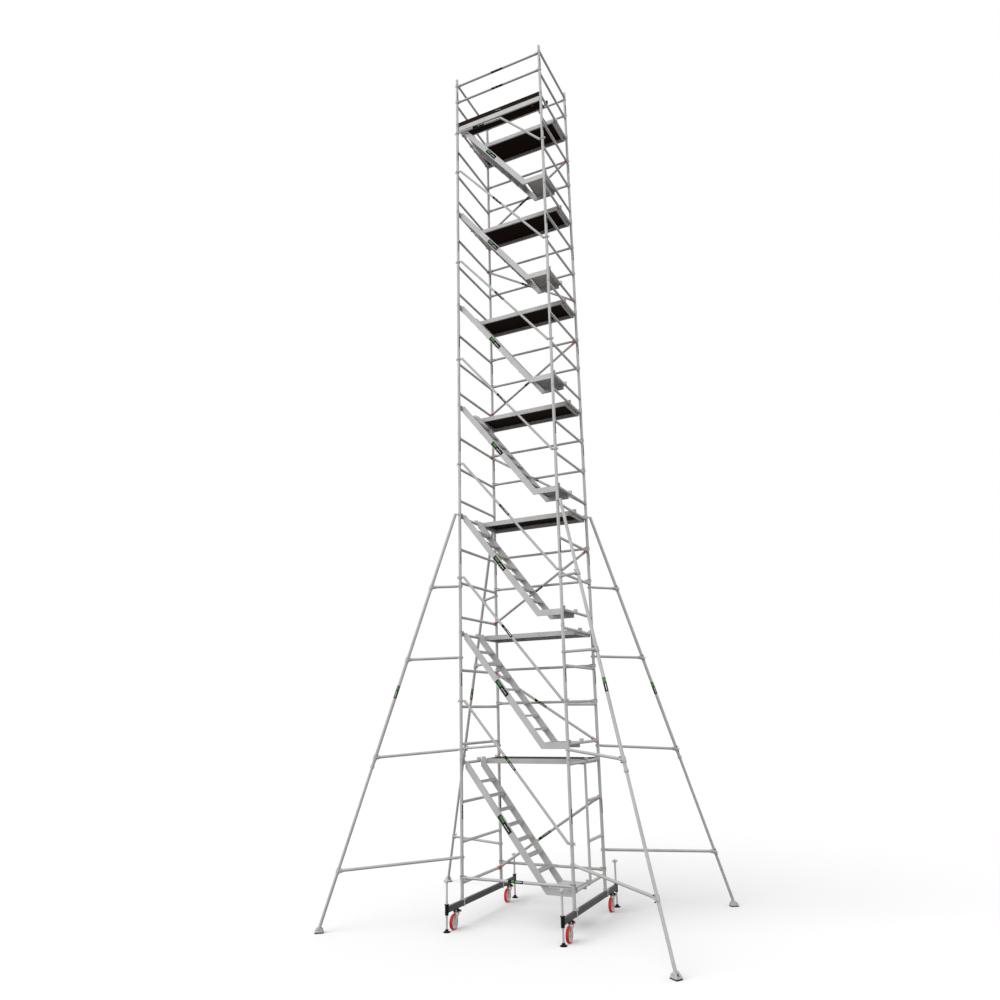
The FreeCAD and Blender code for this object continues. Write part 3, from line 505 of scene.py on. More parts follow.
def post_joints():
    """Swaged collar and spring clip where one frame stands on the next."""
    collars = Shape()
    clips = Shape()
    pin_drop = 0.040
    swage = [(0, -0.020), (0.0016, -0.018), (0.0024, -0.006), (0.0024, -0.001), (0.0004, 0),
             (0.0024, 0.001), (0.0024, 0.010), (0.0016, 0.019), (0, 0.021)]
    collar = lathe([(POST_R + out, height) for out, height in swage], 32)
    wire = torus(POST_R + 0.0032, 0.0016, 28, 6)
    far = -2 * POST_R - 0.012
    pin = lathe([(0, 0.006), (0.004, 0.006), (0.0055, 0.003), (0.0055, 0), (0.0055, far),
                 (0.004, far - 0.003), (0, far - 0.003)], 12)
    for side in (-1, 1):
        for y in (-HALF_WIDTH, HALF_WIDTH):
            for storey in range(2, STOREYS + 2):
                if storey == CLAMPED_JOINT:
                    continue
                z = frame_foot(storey)
                x = side * HALF_BAY
                collars.join(collar, Matrix.Translation((x, y, z)))
                clips.join(wire, Matrix.Translation((x, y, z - pin_drop)))
                clips.join(pin, frame_of((x + side * POST_R, y, z - pin_drop), (side, 0, 0)))
    collars.piece("post_joint_collars", "cast_aluminium")
    clips.piece("post_spring_clips", "zinc_steel")


def post_top_caps():
    caps = Shape()
    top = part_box("guard_frames")[1][2]
    cap = lathe([(0, 0), (POST_R - 0.003, 0), (POST_R - 0.003, -0.020), (POST_R - 0.0045, -0.020)], 28)
    for side in (-1, 1):
        for y in (-HALF_WIDTH, HALF_WIDTH):
            caps.join(cap, Matrix.Translation((side * HALF_BAY, y, top - 0.0008)))
    caps.piece("post_top_caps", "black_paint")


def post_labels():
    """Narrow upright sticker under the third rung of every post, and on the guard frames."""
    labels = Labels()
    tops = [rung_z(storey, 2) - 0.040 for storey in range(1, STOREYS + 1)]
    tops.append(frame_foot(STOREYS + 1) + GUARD_RUNGS[1] - 0.200)
    for x in (-HALF_BAY, HALF_BAY):
        for y in (-HALF_WIDTH, HALF_WIDTH):
            for high in tops:
                labels.on_tube((x, y, high), (x, y, high - POST_LABEL), POST_LABEL / 2, POST_LABEL,
                               POST_R, (1, -0.25, 0), 64, (0.12, 0.45))
    labels.pieces("post_label")


# ---------------------------------------------------------------- braces and handrails
def level_brace_places():
    front = [level(0) + BASE_BRACE]
    back = [level(0) + BASE_BRACE]
    for deck in range(1, STOREYS):
        back += [level(deck) + height for height in BRACE_HEIGHTS]
    rails = [level(STOREYS) + height for height in GUARDRAIL_HEIGHTS]
    return [(-HALF_WIDTH, z) for z in front + rails] + [(HALF_WIDTH, z) for z in back + rails]


def brace_lines():
    """(start, end, axis of the gripped tube) of every level and slanting brace."""
    lines = []
    for y, z in level_brace_places():
        lines.append((Vector((-HALF_BAY, y, z)), Vector((HALF_BAY, y, z)), Vector((0, 0, 1))))
    for storey in range(1, STOREYS + 1):
        low, high = rung_z(storey, 0), rung_z(storey, 2)
        left, right = (low, high) if storey % 2 else (high, low)
        lines.append((Vector((-HALF_BAY, DIAGONAL_Y, left)), Vector((HALF_BAY, DIAGONAL_Y, right)),
                      Vector((0, 1, 0))))
    return lines


def brace_details():
    """Rivets through each socket, socket rims, and the stickers."""
    rivets = Shape()
    rims = Shape()
    labels = Labels()
    rim = torus(0.024, 0.0016, 24, 6)
    for start, end, grip in brace_lines():
        along = (end - start).normalized()
        side = grip.cross(along)
        for point, way in ((start, 1), (end, -1)):
            rims.join(rim, frame_of(point + along * way * (BRACE_GAP + 0.0195), along))
            for reach in (0.050, 0.070):
                for out in (grip, -grip, side, -side):
                    spot = point + along * way * reach + out * SOCKET_R
                    rivets.join(rivet(0.0045), frame_of(spot, out))
        slants = abs(along.z) > 0.05
        middle = (end - start).length * (0.47 if slants else 0.50)
        outward = Vector((0, -1, 0.35)) if start.y < 0 else Vector((0, 1, 0.35))
        if slants:
            outward = Vector((0, -1, 0.1))
        labels.on_tube(start, end, middle, 0.24, BRACE_R, outward, 210, (0.22, 0.40))
    rivets.piece("brace_rivets", "zinc_steel")
    rims.piece("brace_socket_rims", "brace_aluminium")
    labels.pieces("brace_label")


def handrail_lines():
    lines = []
    for deck in range(1, STOREYS):
        top = Vector((-HALF_BAY + 0.065, -HALF_WIDTH, level(deck) + 0.930))
        foot = Vector((HALF_BAY - 0.052, -HALF_WIDTH, level(deck - 1) + 0.900))
        lines.append((top, foot))
    return lines


def handrail_details():
    """Stickers, and the bolt and wing nut of each clip. The top handrail is bent at a knee."""
    labels = Labels()
    bolts = Shape()
    nuts = Shape()
    lines = handrail_lines()
    start_z = level(STOREYS) - 0.144
    start = Vector((-HALF_BAY + 0.065, -HALF_WIDTH, start_z))
    knee = Vector((0.060, -HALF_WIDTH, start_z - 0.026))
    foot = Vector((HALF_BAY - 0.052, -HALF_WIDTH, level(STOREYS) - 0.961))
    for top, low in lines:
        labels.on_tube(top, low, (low - top).length * 0.465, 0.26, HANDRAIL_R, (0.3, -1, 0.3), 230,
                       (0.22, 0.40))
    labels.on_tube(start, knee, 0.40, 0.24, HANDRAIL_R, (0, -1, 0.1), 230, (0.45, 0.65))
    for top, low in lines + [(start, foot)]:
        for point, side in ((top, -1), (low, 1)):
            post = Vector((side * HALF_BAY, -HALF_WIDTH, point.z))
            bolts.join(hex_bolt(0.014, 0.007, 0.011),
                       frame_of(post + Vector((0, -CLIP_REACH, 0)), (0, -1, 0)))
            nuts.join(wing_nut(0.042),
                      frame_of(post + Vector((side * CLIP_REACH, 0, 0)), (side, 0, 0), (0, 0, 1)))
    labels.pieces("handrail_label")
    bolts.piece("handrail_clip_bolts", "zinc_steel")
    nuts.piece("handrail_clip_wing_nuts", "zinc_steel")


# ---------------------------------------------------------------- decks, stairs and top walkway
def deck_details():
    """End brackets, rivets and hook catches of the walk-through decks."""
    rivets = Shape()
    caps = Shape()
    catches = Shape()
    cap = soft_box((0.060, DECK_RAIL_WIDTH + 0.004, DECK_RAIL_HEIGHT + 0.004), 0.002)
    catch = soft_box((0.034, 0.008, 0.016), 0.002)
    for deck in range(1, STOREYS + 1):
        middle = level(deck) + DECK_TOP - DECK_RAIL_HEIGHT / 2
        for side in (-1, 1):
            for y, out in ((DECK_Y0, -1), (DECK_Y1, 1)):
                place = (side * (DECK_END - 0.0285), y - out * DECK_RAIL_WIDTH / 2, middle)
                caps.join(cap, Matrix.Translation(place))
                for dx in (0.012, 0.045):
                    for dz in (-0.020, 0.020):
                        spot = (side * (DECK_END - dx), y + out * 0.002, middle + dz)
                        rivets.join(rivet(), frame_of(spot, (0, out, 0)))
            for y in (DECK_Y0 + 0.055, DECK_Y1 - 0.055):
                for out in (-1, 1):
                    spot = (side * (HALF_BAY + 0.004), y + out * 0.0185, level(deck) - 0.004)
                    catches.join(catch, Matrix.Translation(spot))
        for step in range(9):
            x = (step - 4) * 0.19
            for y, out in ((DECK_Y0, -1), (DECK_Y1, 1)):
                spot = (x, y - out * DECK_RAIL_WIDTH / 2, level(deck) + DECK_TOP)
                rivets.join(rivet(0.0045), frame_of(spot, (0, 0, 1)))
    caps.piece("deck_end_brackets", "cast_aluminium")
    rivets.piece("deck_rivets", "zinc_steel")
    catches.piece("deck_hook_catches", "cast_aluminium")


def stair_line(flight):
    """Centre line of the slanting part of a stringer, from its head to its knee."""
    head = Vector((STAIR_HEAD_X, 0, level(flight)))
    knee = Vector((STAIR_KNEE_X, 0, rung_z(flight, 0) + LANDING_RISE - STRINGER_DEPTH / 2))
    return head, knee


def stair_details():
    """Ribbed treads with nosings, brackets and rivets, and the big sticker of each flight."""
    ribs = Shape()
    brackets = Shape()
    rivets = Shape()
    labels = Labels()
    inner_y = STAIR_Y1 - STRINGER_WIDTH
    outer_y = STAIR_Y0 + STRINGER_WIDTH
    clear = inner_y - outer_y - 0.008
    mid_y = (inner_y + outer_y) / 2
    rib = soft_box((0.006, clear, 0.0024), 0.0009, 1)
    nosing = soft_box((0.010, clear, 0.010), 0.003)
    flange = soft_box((TREAD_DEPTH - 0.010, 0.003, 0.030), 0.001, 1)
    for flight in range(1, STOREYS + 1):
        head, knee = stair_line(flight)
        along = (knee - head).normalized()
        landing_top = rung_z(flight, 0) + LANDING_RISE
        for step in range(1, TREADS + 1):
            top = landing_top + TREAD_RISE * step
            mid_z = top - TREAD_THICKNESS / 2
            mid_x = head.x + (head.z - mid_z) * along.x / -along.z
            for line in range(-3, 4):
                ribs.join(rib, Matrix.Translation((mid_x + line * 0.0135, mid_y, top + 0.0008)))
            for side in (-1, 1):
                spot = (mid_x + side * (TREAD_DEPTH / 2 - 0.003), mid_y, top - 0.005)
                ribs.join(nosing, Matrix.Translation(spot))
            for y in (outer_y + 0.0015, inner_y - 0.0015):
                brackets.join(flange, Matrix.Translation((mid_x, y, top - TREAD_THICKNESS - 0.013)))
            for y, out in ((STAIR_Y0, -1), (STAIR_Y1, 1)):
                for dx in (-0.026, 0.026):
                    rivets.join(rivet(0.0055), frame_of((mid_x + dx, y, mid_z), (0, out, 0)))
        for line in range(14):
            x = knee.x + 0.020 + line * (LANDING_END_X - knee.x - 0.040) / 13
            ribs.join(rib, Matrix.Translation((x, mid_y, landing_top + 0.0008)))
        spot = head + along * ((knee - head).length * 0.50)
        labels.on_plate((spot.x, STAIR_Y0 - STICKER, spot.z), along, (0, -1, 0), 0.30, 0.070)
    ribs.piece("stair_tread_ribs", "stair_aluminium")
    brackets.piece("stair_tread_brackets", "stair_aluminium")
    rivets.piece("stair_rivets", "zinc_steel")
    labels.pieces("stair_label")


def top_walkway_details():
    """Boarding of the narrow deck with its red catches, and the sticker of the toe board."""
    low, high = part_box("toe_board")
    labels = Labels()
    labels.on_plate((0.0, low[1] - STICKER, (low[2] + high[2]) / 2), (1, 0, 0), (0, -1, 0), 0.13, 0.045)
    labels.pieces("toe_board_label")
    start = -HALF_BAY + NARROW_START
    end = DECK_END
    front, back = NARROW_Y
    board = soft_box((end - start + 0.001, back - front, 0.0132), 0.0012)
    place = ((start + end) / 2, (front + back) / 2, level(STOREYS) - NARROW_DROP - 0.006)
    Shape().join(board, Matrix.Translation(place)).piece("narrow_deck_board", "toe_board_plywood")
    catches = Shape()
    catch = soft_box((0.030, 0.022, 0.016), 0.004)
    for x in (start + 0.090, end - 0.175):
        catches.join(catch, Matrix.Translation((x, front + 0.060, place[2] - 0.013)))
    catches.piece("narrow_deck_catches", "red_plastic")
    covers = Shape()
    cover = soft_box((0.068, 0.035, 0.064), 0.004)
    for side in (-1, 1):
        covers.join(cover, Matrix.Translation((side * (HALF_BAY + 0.003), NARROW_HOOK_Y,
                                               level(STOREYS) + 0.030)))
    covers.piece("narrow_deck_hook_covers", "black_paint")


# ---------------------------------------------------------------- base
def base_details():
    """Weld beads at the beam ends and nuts on the clamp bolts."""
    beads = Shape()
    nuts = Shape()
    bead_long = soft_box((BEAM_HALF * 2 + 0.008, 0.008, 0.008), 0.003)
    bead_high = soft_box((0.008, 0.008, BEAM_TOP - BEAM_BOTTOM + 0.006), 0.003)
    middle = (BEAM_TOP + BEAM_BOTTOM) / 2
    nut = hex_bolt(0.019, 0.009, 0.012)
    for side in (-1, 1):
        x = side * HALF_BAY + BASE_OFFSET
        for end in (-1, 1):
            y = end * (JACK_Y - 0.024)
            for z in (BEAM_BOTTOM, BEAM_TOP):
                beads.join(bead_long, Matrix.Translation((x, y, z)))
            for across in (-BEAM_HALF, BEAM_HALF):
                beads.join(bead_high, Matrix.Translation((x + across, y, middle)))
        for post in (-HALF_WIDTH, HALF_WIDTH):
            for across in (-1, 1):
                for step in (-1, 1):
                    spot = (x + across * 0.0315, post + step * 0.0165, BEAM_TOP + 0.012)
                    nuts.join(nut, Matrix.Translation(spot))
    beads.piece("beam_weld_beads", "beam_paint", sharp=60)
    nuts.piece("beam_clamp_nuts", "zinc_steel")


# ---------------------------------------------------------------- jacks
def screw_thread(radius, depth, pitch, low, high):
    """Trapezoidal screw thread as one spiral skin round Z."""
    sides = 20
    turns = int((high - low) / pitch)
    profile = ((0.0, -depth), (0.22, -depth), (0.36, 0.0), (0.64, 0.0), (0.78, -depth))
    shape = Shape()
    for step in range(turns * sides + 1):
        angle = 2 * math.pi * step / sides
        for share, drop in profile:
            z = low + pitch * (step / sides + share)
            reach = radius + drop
            shape.verts.append((reach * math.cos(angle), reach * math.sin(angle), z))
    count = len(profile)
    for step in range(turns * sides):
        here = step * count
        there = here + count
        for row in range(count - 1):
            shape.faces.append((here + row, there + row, there + row + 1, here + row + 1))
        if step + sides <= turns * sides:
            below = here + count - 1
            above = here + sides * count
            shape.faces.append((below, below + count, above + count, above))
    return shape


def jack_pieces(corner):
    """Threaded spindle with a four-winged handle, and its round foot."""
    side, end = CORNERS[corner]
    x = side * HALF_BAY + BASE_OFFSET
    stand = Matrix.Translation((x, end * JACK_Y, 0))
    spindle = Shape()
    spindle.join(screw_thread(0.0160, 0.0022, 0.0075, 0.062, 0.640), stand)
    spindle.join(lathe([(0, 0.018), (0.0095, 0.018), (0.0095, 0.044), (JACK_CORE_R, 0.045),
                        (JACK_CORE_R, 0.690), (0.0125, 0.692), (0, 0.692)], 24), stand)
    spindle.join(lathe([(JACK_CORE_R, 0.636), (0.020, 0.637), (0.022, 0.640), (0.022, 0.676),
                        (0.020, 0.679), (JACK_CORE_R, 0.680)], 28), stand)
    outline = [(0.012, -0.012), (0.034, -0.009), (0.041, -0.013), (0.043, -0.008), (0.043, 0.010),
               (0.039, 0.016), (0.033, 0.015), (0.012, 0.012)]
    wing = soft_plate(outline, 0.009, 0.0018)
    for turn in range(4):
        spin = Matrix.Rotation(math.radians(30 + 90 * turn), 4, "Z")
        place = stand @ spin @ Matrix.Translation((0, 0, 0.659)) @ Matrix.Rotation(math.pi / 2, 4, "X")
        spindle.join(wing, place)
    spindle.piece("jack_screw_" + corner, "zinc_steel", "jack_screw_" + corner,
                  ("jack_spindle_" + corner,), 50)
    foot = lathe([(0, 0.0), (0.047, 0.0), (0.0495, 0.002), (0.050, 0.005), (0.049, 0.009),
                  (0.045, 0.0115), (0.036, 0.0135), (0.029, 0.019), (0.0245, 0.027), (0.0225, 0.034),
                  (0.0225, 0.039), (0.021, 0.042), (0.0105, 0.042), (0.0105, 0.017), (0, 0.017)], 40)
    body = "jack_foot_body_" + corner
    Shape().join(foot, stand).piece("jack_base_" + corner, "black_paint", body,
                                    ("jack_foot_" + corner,), 50)


# ---------------------------------------------------------------- castors
def caster_matrix(corner):
    side, end = CORNERS[corner]
    return (Matrix.Translation((side * HALF_BAY + CASTER_OFFSET, end * CASTER_Y, 0))
            @ Matrix.Rotation(math.radians(CASTER_ANGLE), 4, "Z"))


def mount_bolt(corner):
    """Pale lock bolt on the outer front of the castor's black head."""
    side, end = CORNERS[corner]
    facing = Vector((0.45, -0.89, 0)).normalized()
    place = Vector((side * HALF_BAY + CASTER_OFFSET, end * CASTER_Y, 0.222)) + facing * 0.0465
    bolt = lathe([(0, -0.001), (0.006, 0), (0.007, 0.003), (0.007, 0.022), (0.006, 0.0255),
                  (0, 0.026)], 14)
    Shape().join(bolt, Matrix.Translation(place)).piece("caster_lock_bolt_" + corner, "zinc_steel")


def caster_pieces(corner):
    """Pressed fork with a rolled crown, wheel with a ribbed nylon centre, and the brake pedal."""
    stand = caster_matrix(corner)
    across = Matrix.Rotation(math.pi / 2, 4, "Y")
    axle = Matrix.Translation((0, -CASTER_TRAIL, WHEEL_R))
    fork = Shape()
    fork.join(lathe([(0, 0.212), (0.033, 0.212), (0.039, 0.2135), (0.040, 0.217), (0.038, 0.2205),
                     (0.034, 0.221), (0.012, 0.221), (0.0098, 0.223), (0.0098, 0.237), (0, 0.237)], 36))
    cheek = [(0.212, 0.024), (0.200, 0.043), (0.190, 0.047), (0.176, 0.044), (0.130, -0.030),
             (0.108, -0.060), (0.092, -0.066), (0.084, -0.074), (0.083, -0.086), (0.090, -0.095),
             (0.108, -0.097), (0.140, -0.074), (0.180, -0.046), (0.212, -0.034)]
    sheet = soft_plate([(-z, y) for z, y in cheek], FORK_SHEET, 0.0012)
    for side in (-1, 1):
        fork.join(sheet, Matrix.Translation((side * FORK_SHEET_X, 0, 0)) @ across)
        face = Matrix.Translation((side * FORK_FACE_X, 0, 0))
        outward = frame_of((0, -CASTER_TRAIL, WHEEL_R), (side, 0, 0))
        fork.join(hex_bolt(0.019, 0.006, 0.013), face @ outward)
        fork.join(hex_bolt(0.013, 0.003, 0.008), face @ frame_of((0, PEDAL_Y, PEDAL_Z), (side, 0, 0)))
    rolled = torus(0.0385, 0.0035, 36, 8)
    fork.join(rolled, Matrix.Translation((0, 0, 0.2135)))
    Shape().join(fork, stand).piece("caster_housing_" + corner, "zinc_steel", "caster_" + corner,
                                    ("caster_fork_" + corner,), 40)
    half = [(HUB_R - 0.001, WHEEL_HALF - 0.001), (HUB_R + 0.001, WHEEL_HALF), (0.0965, WHEEL_HALF),
            (0.0985, WHEEL_HALF - 0.0015), (0.0998, WHEEL_HALF - 0.005)]
    mirrored = [(radius, -height) for radius, height in half]
    tyre = lathe(mirrored + [(WHEEL_R, 0)] + half[::-1], 72, closed=True)
    body = "wheel_" + corner
    Shape().join(tyre, stand @ axle @ across).piece("tyre_" + corner, "red_tyre", body,
                                                    ("wheel_tyre_" + corner,), 50)
    hub = Shape()
    half = [(0.0066, 0.0222), (0.0225, 0.0222), (0.025, 0.020), (0.026, 0.010), (0.034, 0.008),
            (0.070, 0.0095), (0.076, 0.013), (0.0775, 0.0205), (0.079, 0.0215), (0.0848, 0.0215)]
    hub.join(lathe([(radius, -height) for radius, height in half] + half[::-1], 60, closed=True))
    rib = soft_box((0.021, 0.046, 0.0035), 0.0012)
    for turn in range(8):
        spin = Matrix.Rotation(math.pi * turn / 4, 4, "Z")
        place = spin @ Matrix.Translation((0, 0.050, 0)) @ Matrix.Rotation(math.pi / 2, 4, "Y")
        hub.join(rib, place)
    Shape().join(hub, stand @ axle @ across).piece("wheel_centre_" + corner, "hub_nylon", body,
                                                   ("wheel_hub_" + corner,), 40)
    pedal_pieces(corner, stand)
    mount_bolt(corner)


def pedal_pieces(corner, stand):
    """Brake pedal: a red lever with its pivot barrel, under a black tread with grip ribs."""
    body = "pedal_" + corner
    lift = (stand @ Matrix.Translation((0, PEDAL_Y, PEDAL_Z))
            @ Matrix.Rotation(math.radians(PEDAL_RISE), 4, "X"))
    side_view = [(0.006, 0.002), (0.040, 0.003), (0.074, 0.002), (0.088, -0.003), (0.093, -0.014),
                 (0.090, -0.022), (0.082, -0.022), (0.070, -0.010), (0.040, -0.006), (0.006, -0.006)]
    cover_view = [(0.004, 0.003), (0.040, 0.004), (0.076, 0.003), (0.092, -0.002), (0.096, 0.000),
                  (0.092, 0.005), (0.076, 0.010), (0.040, 0.011), (0.004, 0.009)]
    to_side = Matrix(((0, 0, 1, 0), (1, 0, 0, 0), (0, 1, 0, 0), (0, 0, 0, 1)))
    pedal = Shape()
    pedal.join(soft_plate(side_view, 0.046, 0.0014), to_side)
    barrel = lathe([(0.0052, -0.022), (0.0095, -0.022), (0.010, -0.0205), (0.010, 0.0205),
                    (0.0095, 0.022), (0.0052, 0.022)], 28, closed=True)
    pedal.join(barrel, Matrix.Rotation(math.pi / 2, 4, "Y"))
    cover = Shape().join(soft_plate(cover_view, 0.044, 0.0014), to_side)
    rib = soft_box((0.038, 0.0035, 0.003), 0.0009, 1)
    for line in range(6):
        cover.join(rib, Matrix.Translation((0, 0.030 + line * 0.009, 0.0108)))
    Shape().join(cover, lift).piece("brake_tread_" + corner, "black_paint", body, (), 40)
    Shape().join(pedal, lift).piece("brake_lever_" + corner, "red_plastic", body,
                                    ("brake_pedal_" + corner,), 40)


# ---------------------------------------------------------------- outriggers
def outrigger_matrix(corner):
    """Frame of an outrigger: Z up its post and X out along the ground to its pad."""
    side, end = CORNERS[corner]
    azimuth = math.atan2(end * REACH_Y, side * REACH_X)
    return (Matrix.Translation((side * HALF_BAY, end * HALF_WIDTH, 0))
            @ Matrix.Rotation(azimuth, 4, "Z"))


def leg_ends():
    top = Vector((LEG_TOP[0], 0, LEG_TOP[1]))
    pivot = Vector((math.hypot(REACH_X, REACH_Y), 0, LEG_PIVOT_Z))
    return top, pivot


def leg_point(z):
    """Point of the leg's centre line at a height."""
    top, pivot = leg_ends()
    return top + (pivot - top) * ((top.z - z) / (top.z - pivot.z))


def outrigger_pieces(corner):
    """Butterfly bolts, clamp rims, the leg's snap button and cap, its sticker, and black dots of painted
    shade where the pin holes are.
    """
    stand = outrigger_matrix(corner)
    top, pivot = leg_ends()
    along = (pivot - top).normalized()
    bolts = Shape()
    rims = Shape()
    knobs = Shape()
    clamp_bolt = hex_bolt(0.014, 0.006, 0.010)
    reach = Vector((0, -0.018, 0))
    for post_z, leg_z in STRUTS:
        centre = leg_point(leg_z)
        grip = LEG_LOWER_R if leg_z < LEG_SPLIT else LEG_R + 0.0005
        outer = grip + 0.008
        for way in (-1, 1):
            rims.join(torus(outer, 0.0016, 28, 6), frame_of(centre + along * way * 0.035, along))
            rims.join(torus(CLAMP_R, 0.0016, 28, 6), Matrix.Translation((0, 0, post_z + way * 0.016)))
        seat = centre + Vector((0, -outer, 0))
        bolts.join(lathe([(0.006, -0.004), (0.006, 0.016), (0.005, 0.018), (0, 0.018)], 14),
                   frame_of(seat, (0, -1, 0)))
        bolts.join(soft_box((0.074, 0.008, 0.014), 0.003),
                   frame_of(seat + reach, (0, 0, 1), along))
        for way in (-1, 1):
            tip = seat + reach + along * way * 0.038
            knobs.join(lathe([(0, -0.009), (0.008, -0.007), (0.010, 0), (0.008, 0.007), (0, 0.009)], 16),
                       frame_of(tip, along))
        bolts.join(clamp_bolt, frame_of((-CLAMP_R, 0, post_z), (-1, 0, 0)))
        bolts.join(clamp_bolt, frame_of((0, -CLAMP_R, post_z), (0, -1, 0)))
    for way in (-1, 1):
        rims.join(torus(CLAMP_R, 0.0016, 28, 6), Matrix.Translation((0, 0, LEG_TOP[1] + way * 0.016)))
    bolts.join(clamp_bolt, frame_of((-CLAMP_R, 0, LEG_TOP[1]), (-1, 0, 0)))
    split = leg_point(LEG_SPLIT)
    for way in (-0.029, -0.002):
        rims.join(torus(SLEEVE_R, 0.0018, 28, 6), frame_of(split + along * way, along))
    bolts.join(rivet(0.008), frame_of(split - along * 0.015 + Vector((0, -SLEEVE_R, 0)), (0, -1, 0)))
    arm = "outrigger_arm_" + corner
    Shape().join(bolts, stand).piece("outrigger_bolts_" + corner, "zinc_steel", arm)
    Shape().join(rims, stand).piece("outrigger_rims_" + corner, "cast_aluminium", arm)
    Shape().join(knobs, stand).piece("outrigger_knobs_" + corner, "black_paint", arm)
    cap_r = LEG_R - 0.001
    cap = lathe([(cap_r, -0.004), (cap_r, 0.001), (cap_r - 0.003, 0.004), (0, 0.005)], 28)
    Shape().join(cap, stand @ frame_of(top, -along)).piece("outrigger_cap_" + corner, "black_paint", arm)
    labels = Labels()
    high = stand @ leg_point(3.42)
    low = stand @ leg_point(3.20)
    labels.on_tube(high, low, (high - low).length / 2, 0.20, LEG_R, (0.45, -1, 0), 190, (0.04, 0.36))
    labels.pieces("outrigger_label_" + corner, arm)
    # Each pin hole is a black dot: painted shade standing in for the dark hollow seen through the hole.
    pin_hole_shade = Shape()
    for step in range(9):
        spot = leg_point(LEG_SPLIT - 0.68 - 0.14 * step)
        pin_hole_shade.join(rivet(0.0055), frame_of(spot + Vector((0, -LEG_LOWER_R + 0.0006, 0)), (0, -1, 0)))
    Shape().join(pin_hole_shade, stand).piece("leg_pin_hole_painted_shade_" + corner, "black_paint", "outrigger_leg_" + corner)
    pad_pieces(corner, stand)


def pad_pieces(corner, stand):
    """Cast foot plate with rounded corners and lugs, on a ribbed rubber sole."""
    body = "pad_" + corner
    _, pivot = leg_ends()
    place = stand @ Matrix.Translation((pivot.x, 0, 0))
    cast = Shape()
    cast.join(soft_box((0.118, 0.088, 0.016), 0.005), Matrix.Translation((0, 0, 0.020)))
    lug_outline = [(-0.057, 0.0), (0.057, 0.0), (0.056, 0.020), (0.044, 0.040)]
    lug_outline += [(0.028 * math.cos(math.radians(a)), 0.036 + 0.028 * math.sin(math.radians(a)))
                    for a in range(30, 151, 15)]
    lug_outline += [(-0.044, 0.040), (-0.056, 0.020)]
    lug = soft_plate(lug_outline, 0.016, 0.003)
    upright = Matrix.Rotation(math.pi / 2, 4, "X")
    for side in (-1, 1):
        cast.join(lug, Matrix.Translation((0, side * 0.0305, 0.0195)) @ upright)
        cast.join(hex_bolt(0.020, 0.003, 0.012), frame_of((0, side * 0.0385, LEG_PIVOT_Z), (0, side, 0)))
    cast.join(lathe([(0, -0.0305), (0.008, -0.0305), (0.008, 0.0305), (0, 0.0305)], 24),
              Matrix.Translation((0, 0, LEG_PIVOT_Z)) @ upright)
    Shape().join(cast, place).piece("pad_casting_" + corner, "cast_aluminium", body,
                                    ("outrigger_pad_" + corner,), 40)
    sole = Shape()
    sole.join(soft_box((0.126, 0.096, 0.011), 0.0035), Matrix.Translation((0, 0, 0.0075)))
    bar = soft_box((0.010, 0.088, 0.005), 0.0015)
    for step in range(6):
        sole.join(bar, Matrix.Translation(((step - 2.5) * 0.020, 0, 0.0027)))
    Shape().join(sole, place).piece("pad_sole_" + corner, "foot_rubber", body, (), 40)


# ---------------------------------------------------------------- camera, floor and light
CAMERA_PLACE = (5.204, -11.535, 2.972)
CAMERA_ANGLES = (-26.093, 15.508, -1.2)      # yaw from +Y, pitch and roll, in degrees
CAMERA_SENSOR, CAMERA_LENS = 36.0, 27.56     # in millimetres
FLOOR_HALF = 700.0
FLOOR_TONE = (0.595, 0.595, 0.595)
SKY_TONE = (1.0, 1.0, 1.0)
GROUND_TONE = (0.40, 0.37, 0.345)
HORIZON = (-0.30, -0.02)                     # the dome turns from ground to sky in between
KEY_FROM = (-0.30, -0.62, 0.72)
KEY_STRENGTH, KEY_SPREAD = 3.25, 60.0


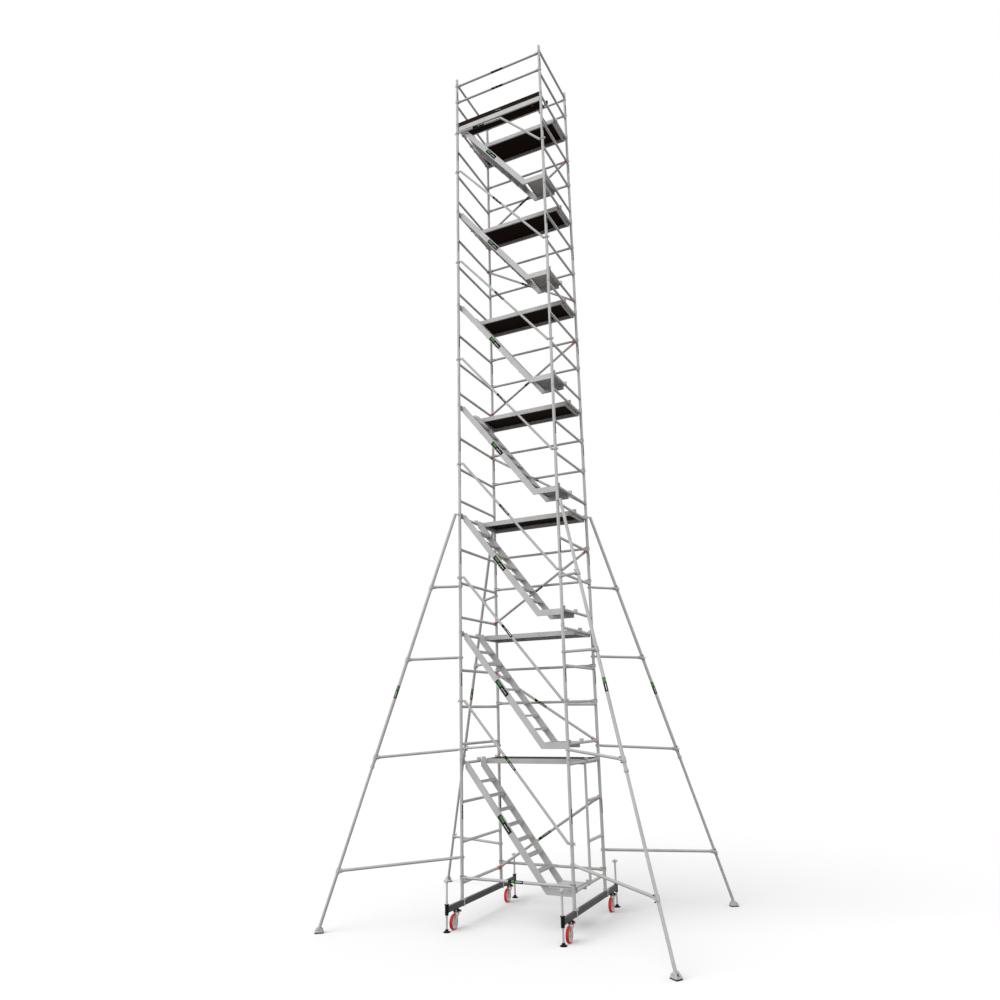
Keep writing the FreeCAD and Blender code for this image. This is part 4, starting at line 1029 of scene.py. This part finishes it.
def add_camera():
    """Camera at a height of 3 m and 12.7 m from the middle of the tower, tilted up at it."""
    yaw, pitch, roll = (math.radians(angle) for angle in CAMERA_ANGLES)
    forward = Vector((math.sin(yaw) * math.cos(pitch), math.cos(yaw) * math.cos(pitch), math.sin(pitch)))
    level_right = Vector((math.cos(yaw), -math.sin(yaw), 0.0))
    level_up = level_right.cross(forward)
    right = math.cos(roll) * level_right + math.sin(roll) * level_up
    up = math.cos(roll) * level_up - math.sin(roll) * level_right
    data = bpy.data.cameras.new("camera")
    data.sensor_width = CAMERA_SENSOR
    data.lens = CAMERA_LENS
    data.clip_end = 2000.0
    camera = bpy.data.objects.new("camera", data)
    bpy.context.collection.objects.link(camera)
    turn = Matrix((right, up, -forward)).transposed().to_4x4()
    camera.matrix_world = Matrix.Translation(CAMERA_PLACE) @ turn
    bpy.context.scene.camera = camera


def add_floor():
    """Pale floor that takes shadows and is left out of bounce light and reflections."""
    corners = [(x * FLOOR_HALF, y * FLOOR_HALF, 0) for x, y in ((-1, -1), (1, -1), (1, 1), (-1, 1))]
    mesh = bpy.data.meshes.new("floor")
    mesh.from_pydata(corners, [], [(0, 1, 2, 3)])
    floor = bpy.data.objects.new("floor", mesh)
    bpy.context.collection.objects.link(floor)
    material, _ = new_material("floor", FLOOR_TONE, 0.0, 1.0)
    mesh.materials.append(material)
    floor.visible_diffuse = False
    floor.visible_glossy = False


def add_key():
    """Wide, soft light from far away; it lights surfaces and leaves no glare on them."""
    data = bpy.data.lights.new("key", "SUN")
    data.energy = KEY_STRENGTH
    data.angle = math.radians(KEY_SPREAD)
    lamp = bpy.data.objects.new("key", data)
    bpy.context.collection.objects.link(lamp)
    lamp.rotation_euler = Vector(KEY_FROM).to_track_quat("Z", "Y").to_euler()
    lamp.visible_glossy = False


def add_dome():
    """White dome over a warm grey ground, which the pale floor hides from the camera."""
    world = bpy.data.worlds.new("studio")
    world.use_nodes = True
    background = world.node_tree.nodes["Background"]
    direction = node(world, "ShaderNodeTexCoord")
    split = node(world, "ShaderNodeSeparateXYZ")
    link(world, direction.outputs["Generated"], split.inputs["Vector"])
    height = remap(world, split.outputs["Z"], 0.0, 1.0, *HORIZON)
    link(world, mix_colours(world, height, GROUND_TONE, SKY_TONE), background.inputs["Color"])
    background.inputs["Strength"].default_value = 1.0
    bpy.context.scene.world = world
    bpy.context.scene.view_settings.view_transform = "Standard"


paint_cad_nodes()
ribbed_rungs()
post_joints()
post_top_caps()
post_labels()
brace_details()
handrail_details()
deck_details()
stair_details()
top_walkway_details()
base_details()
for corner in CORNERS:
    jack_pieces(corner)
    caster_pieces(corner)
    outrigger_pieces(corner)
add_camera()
add_floor()
add_dome()
add_key()
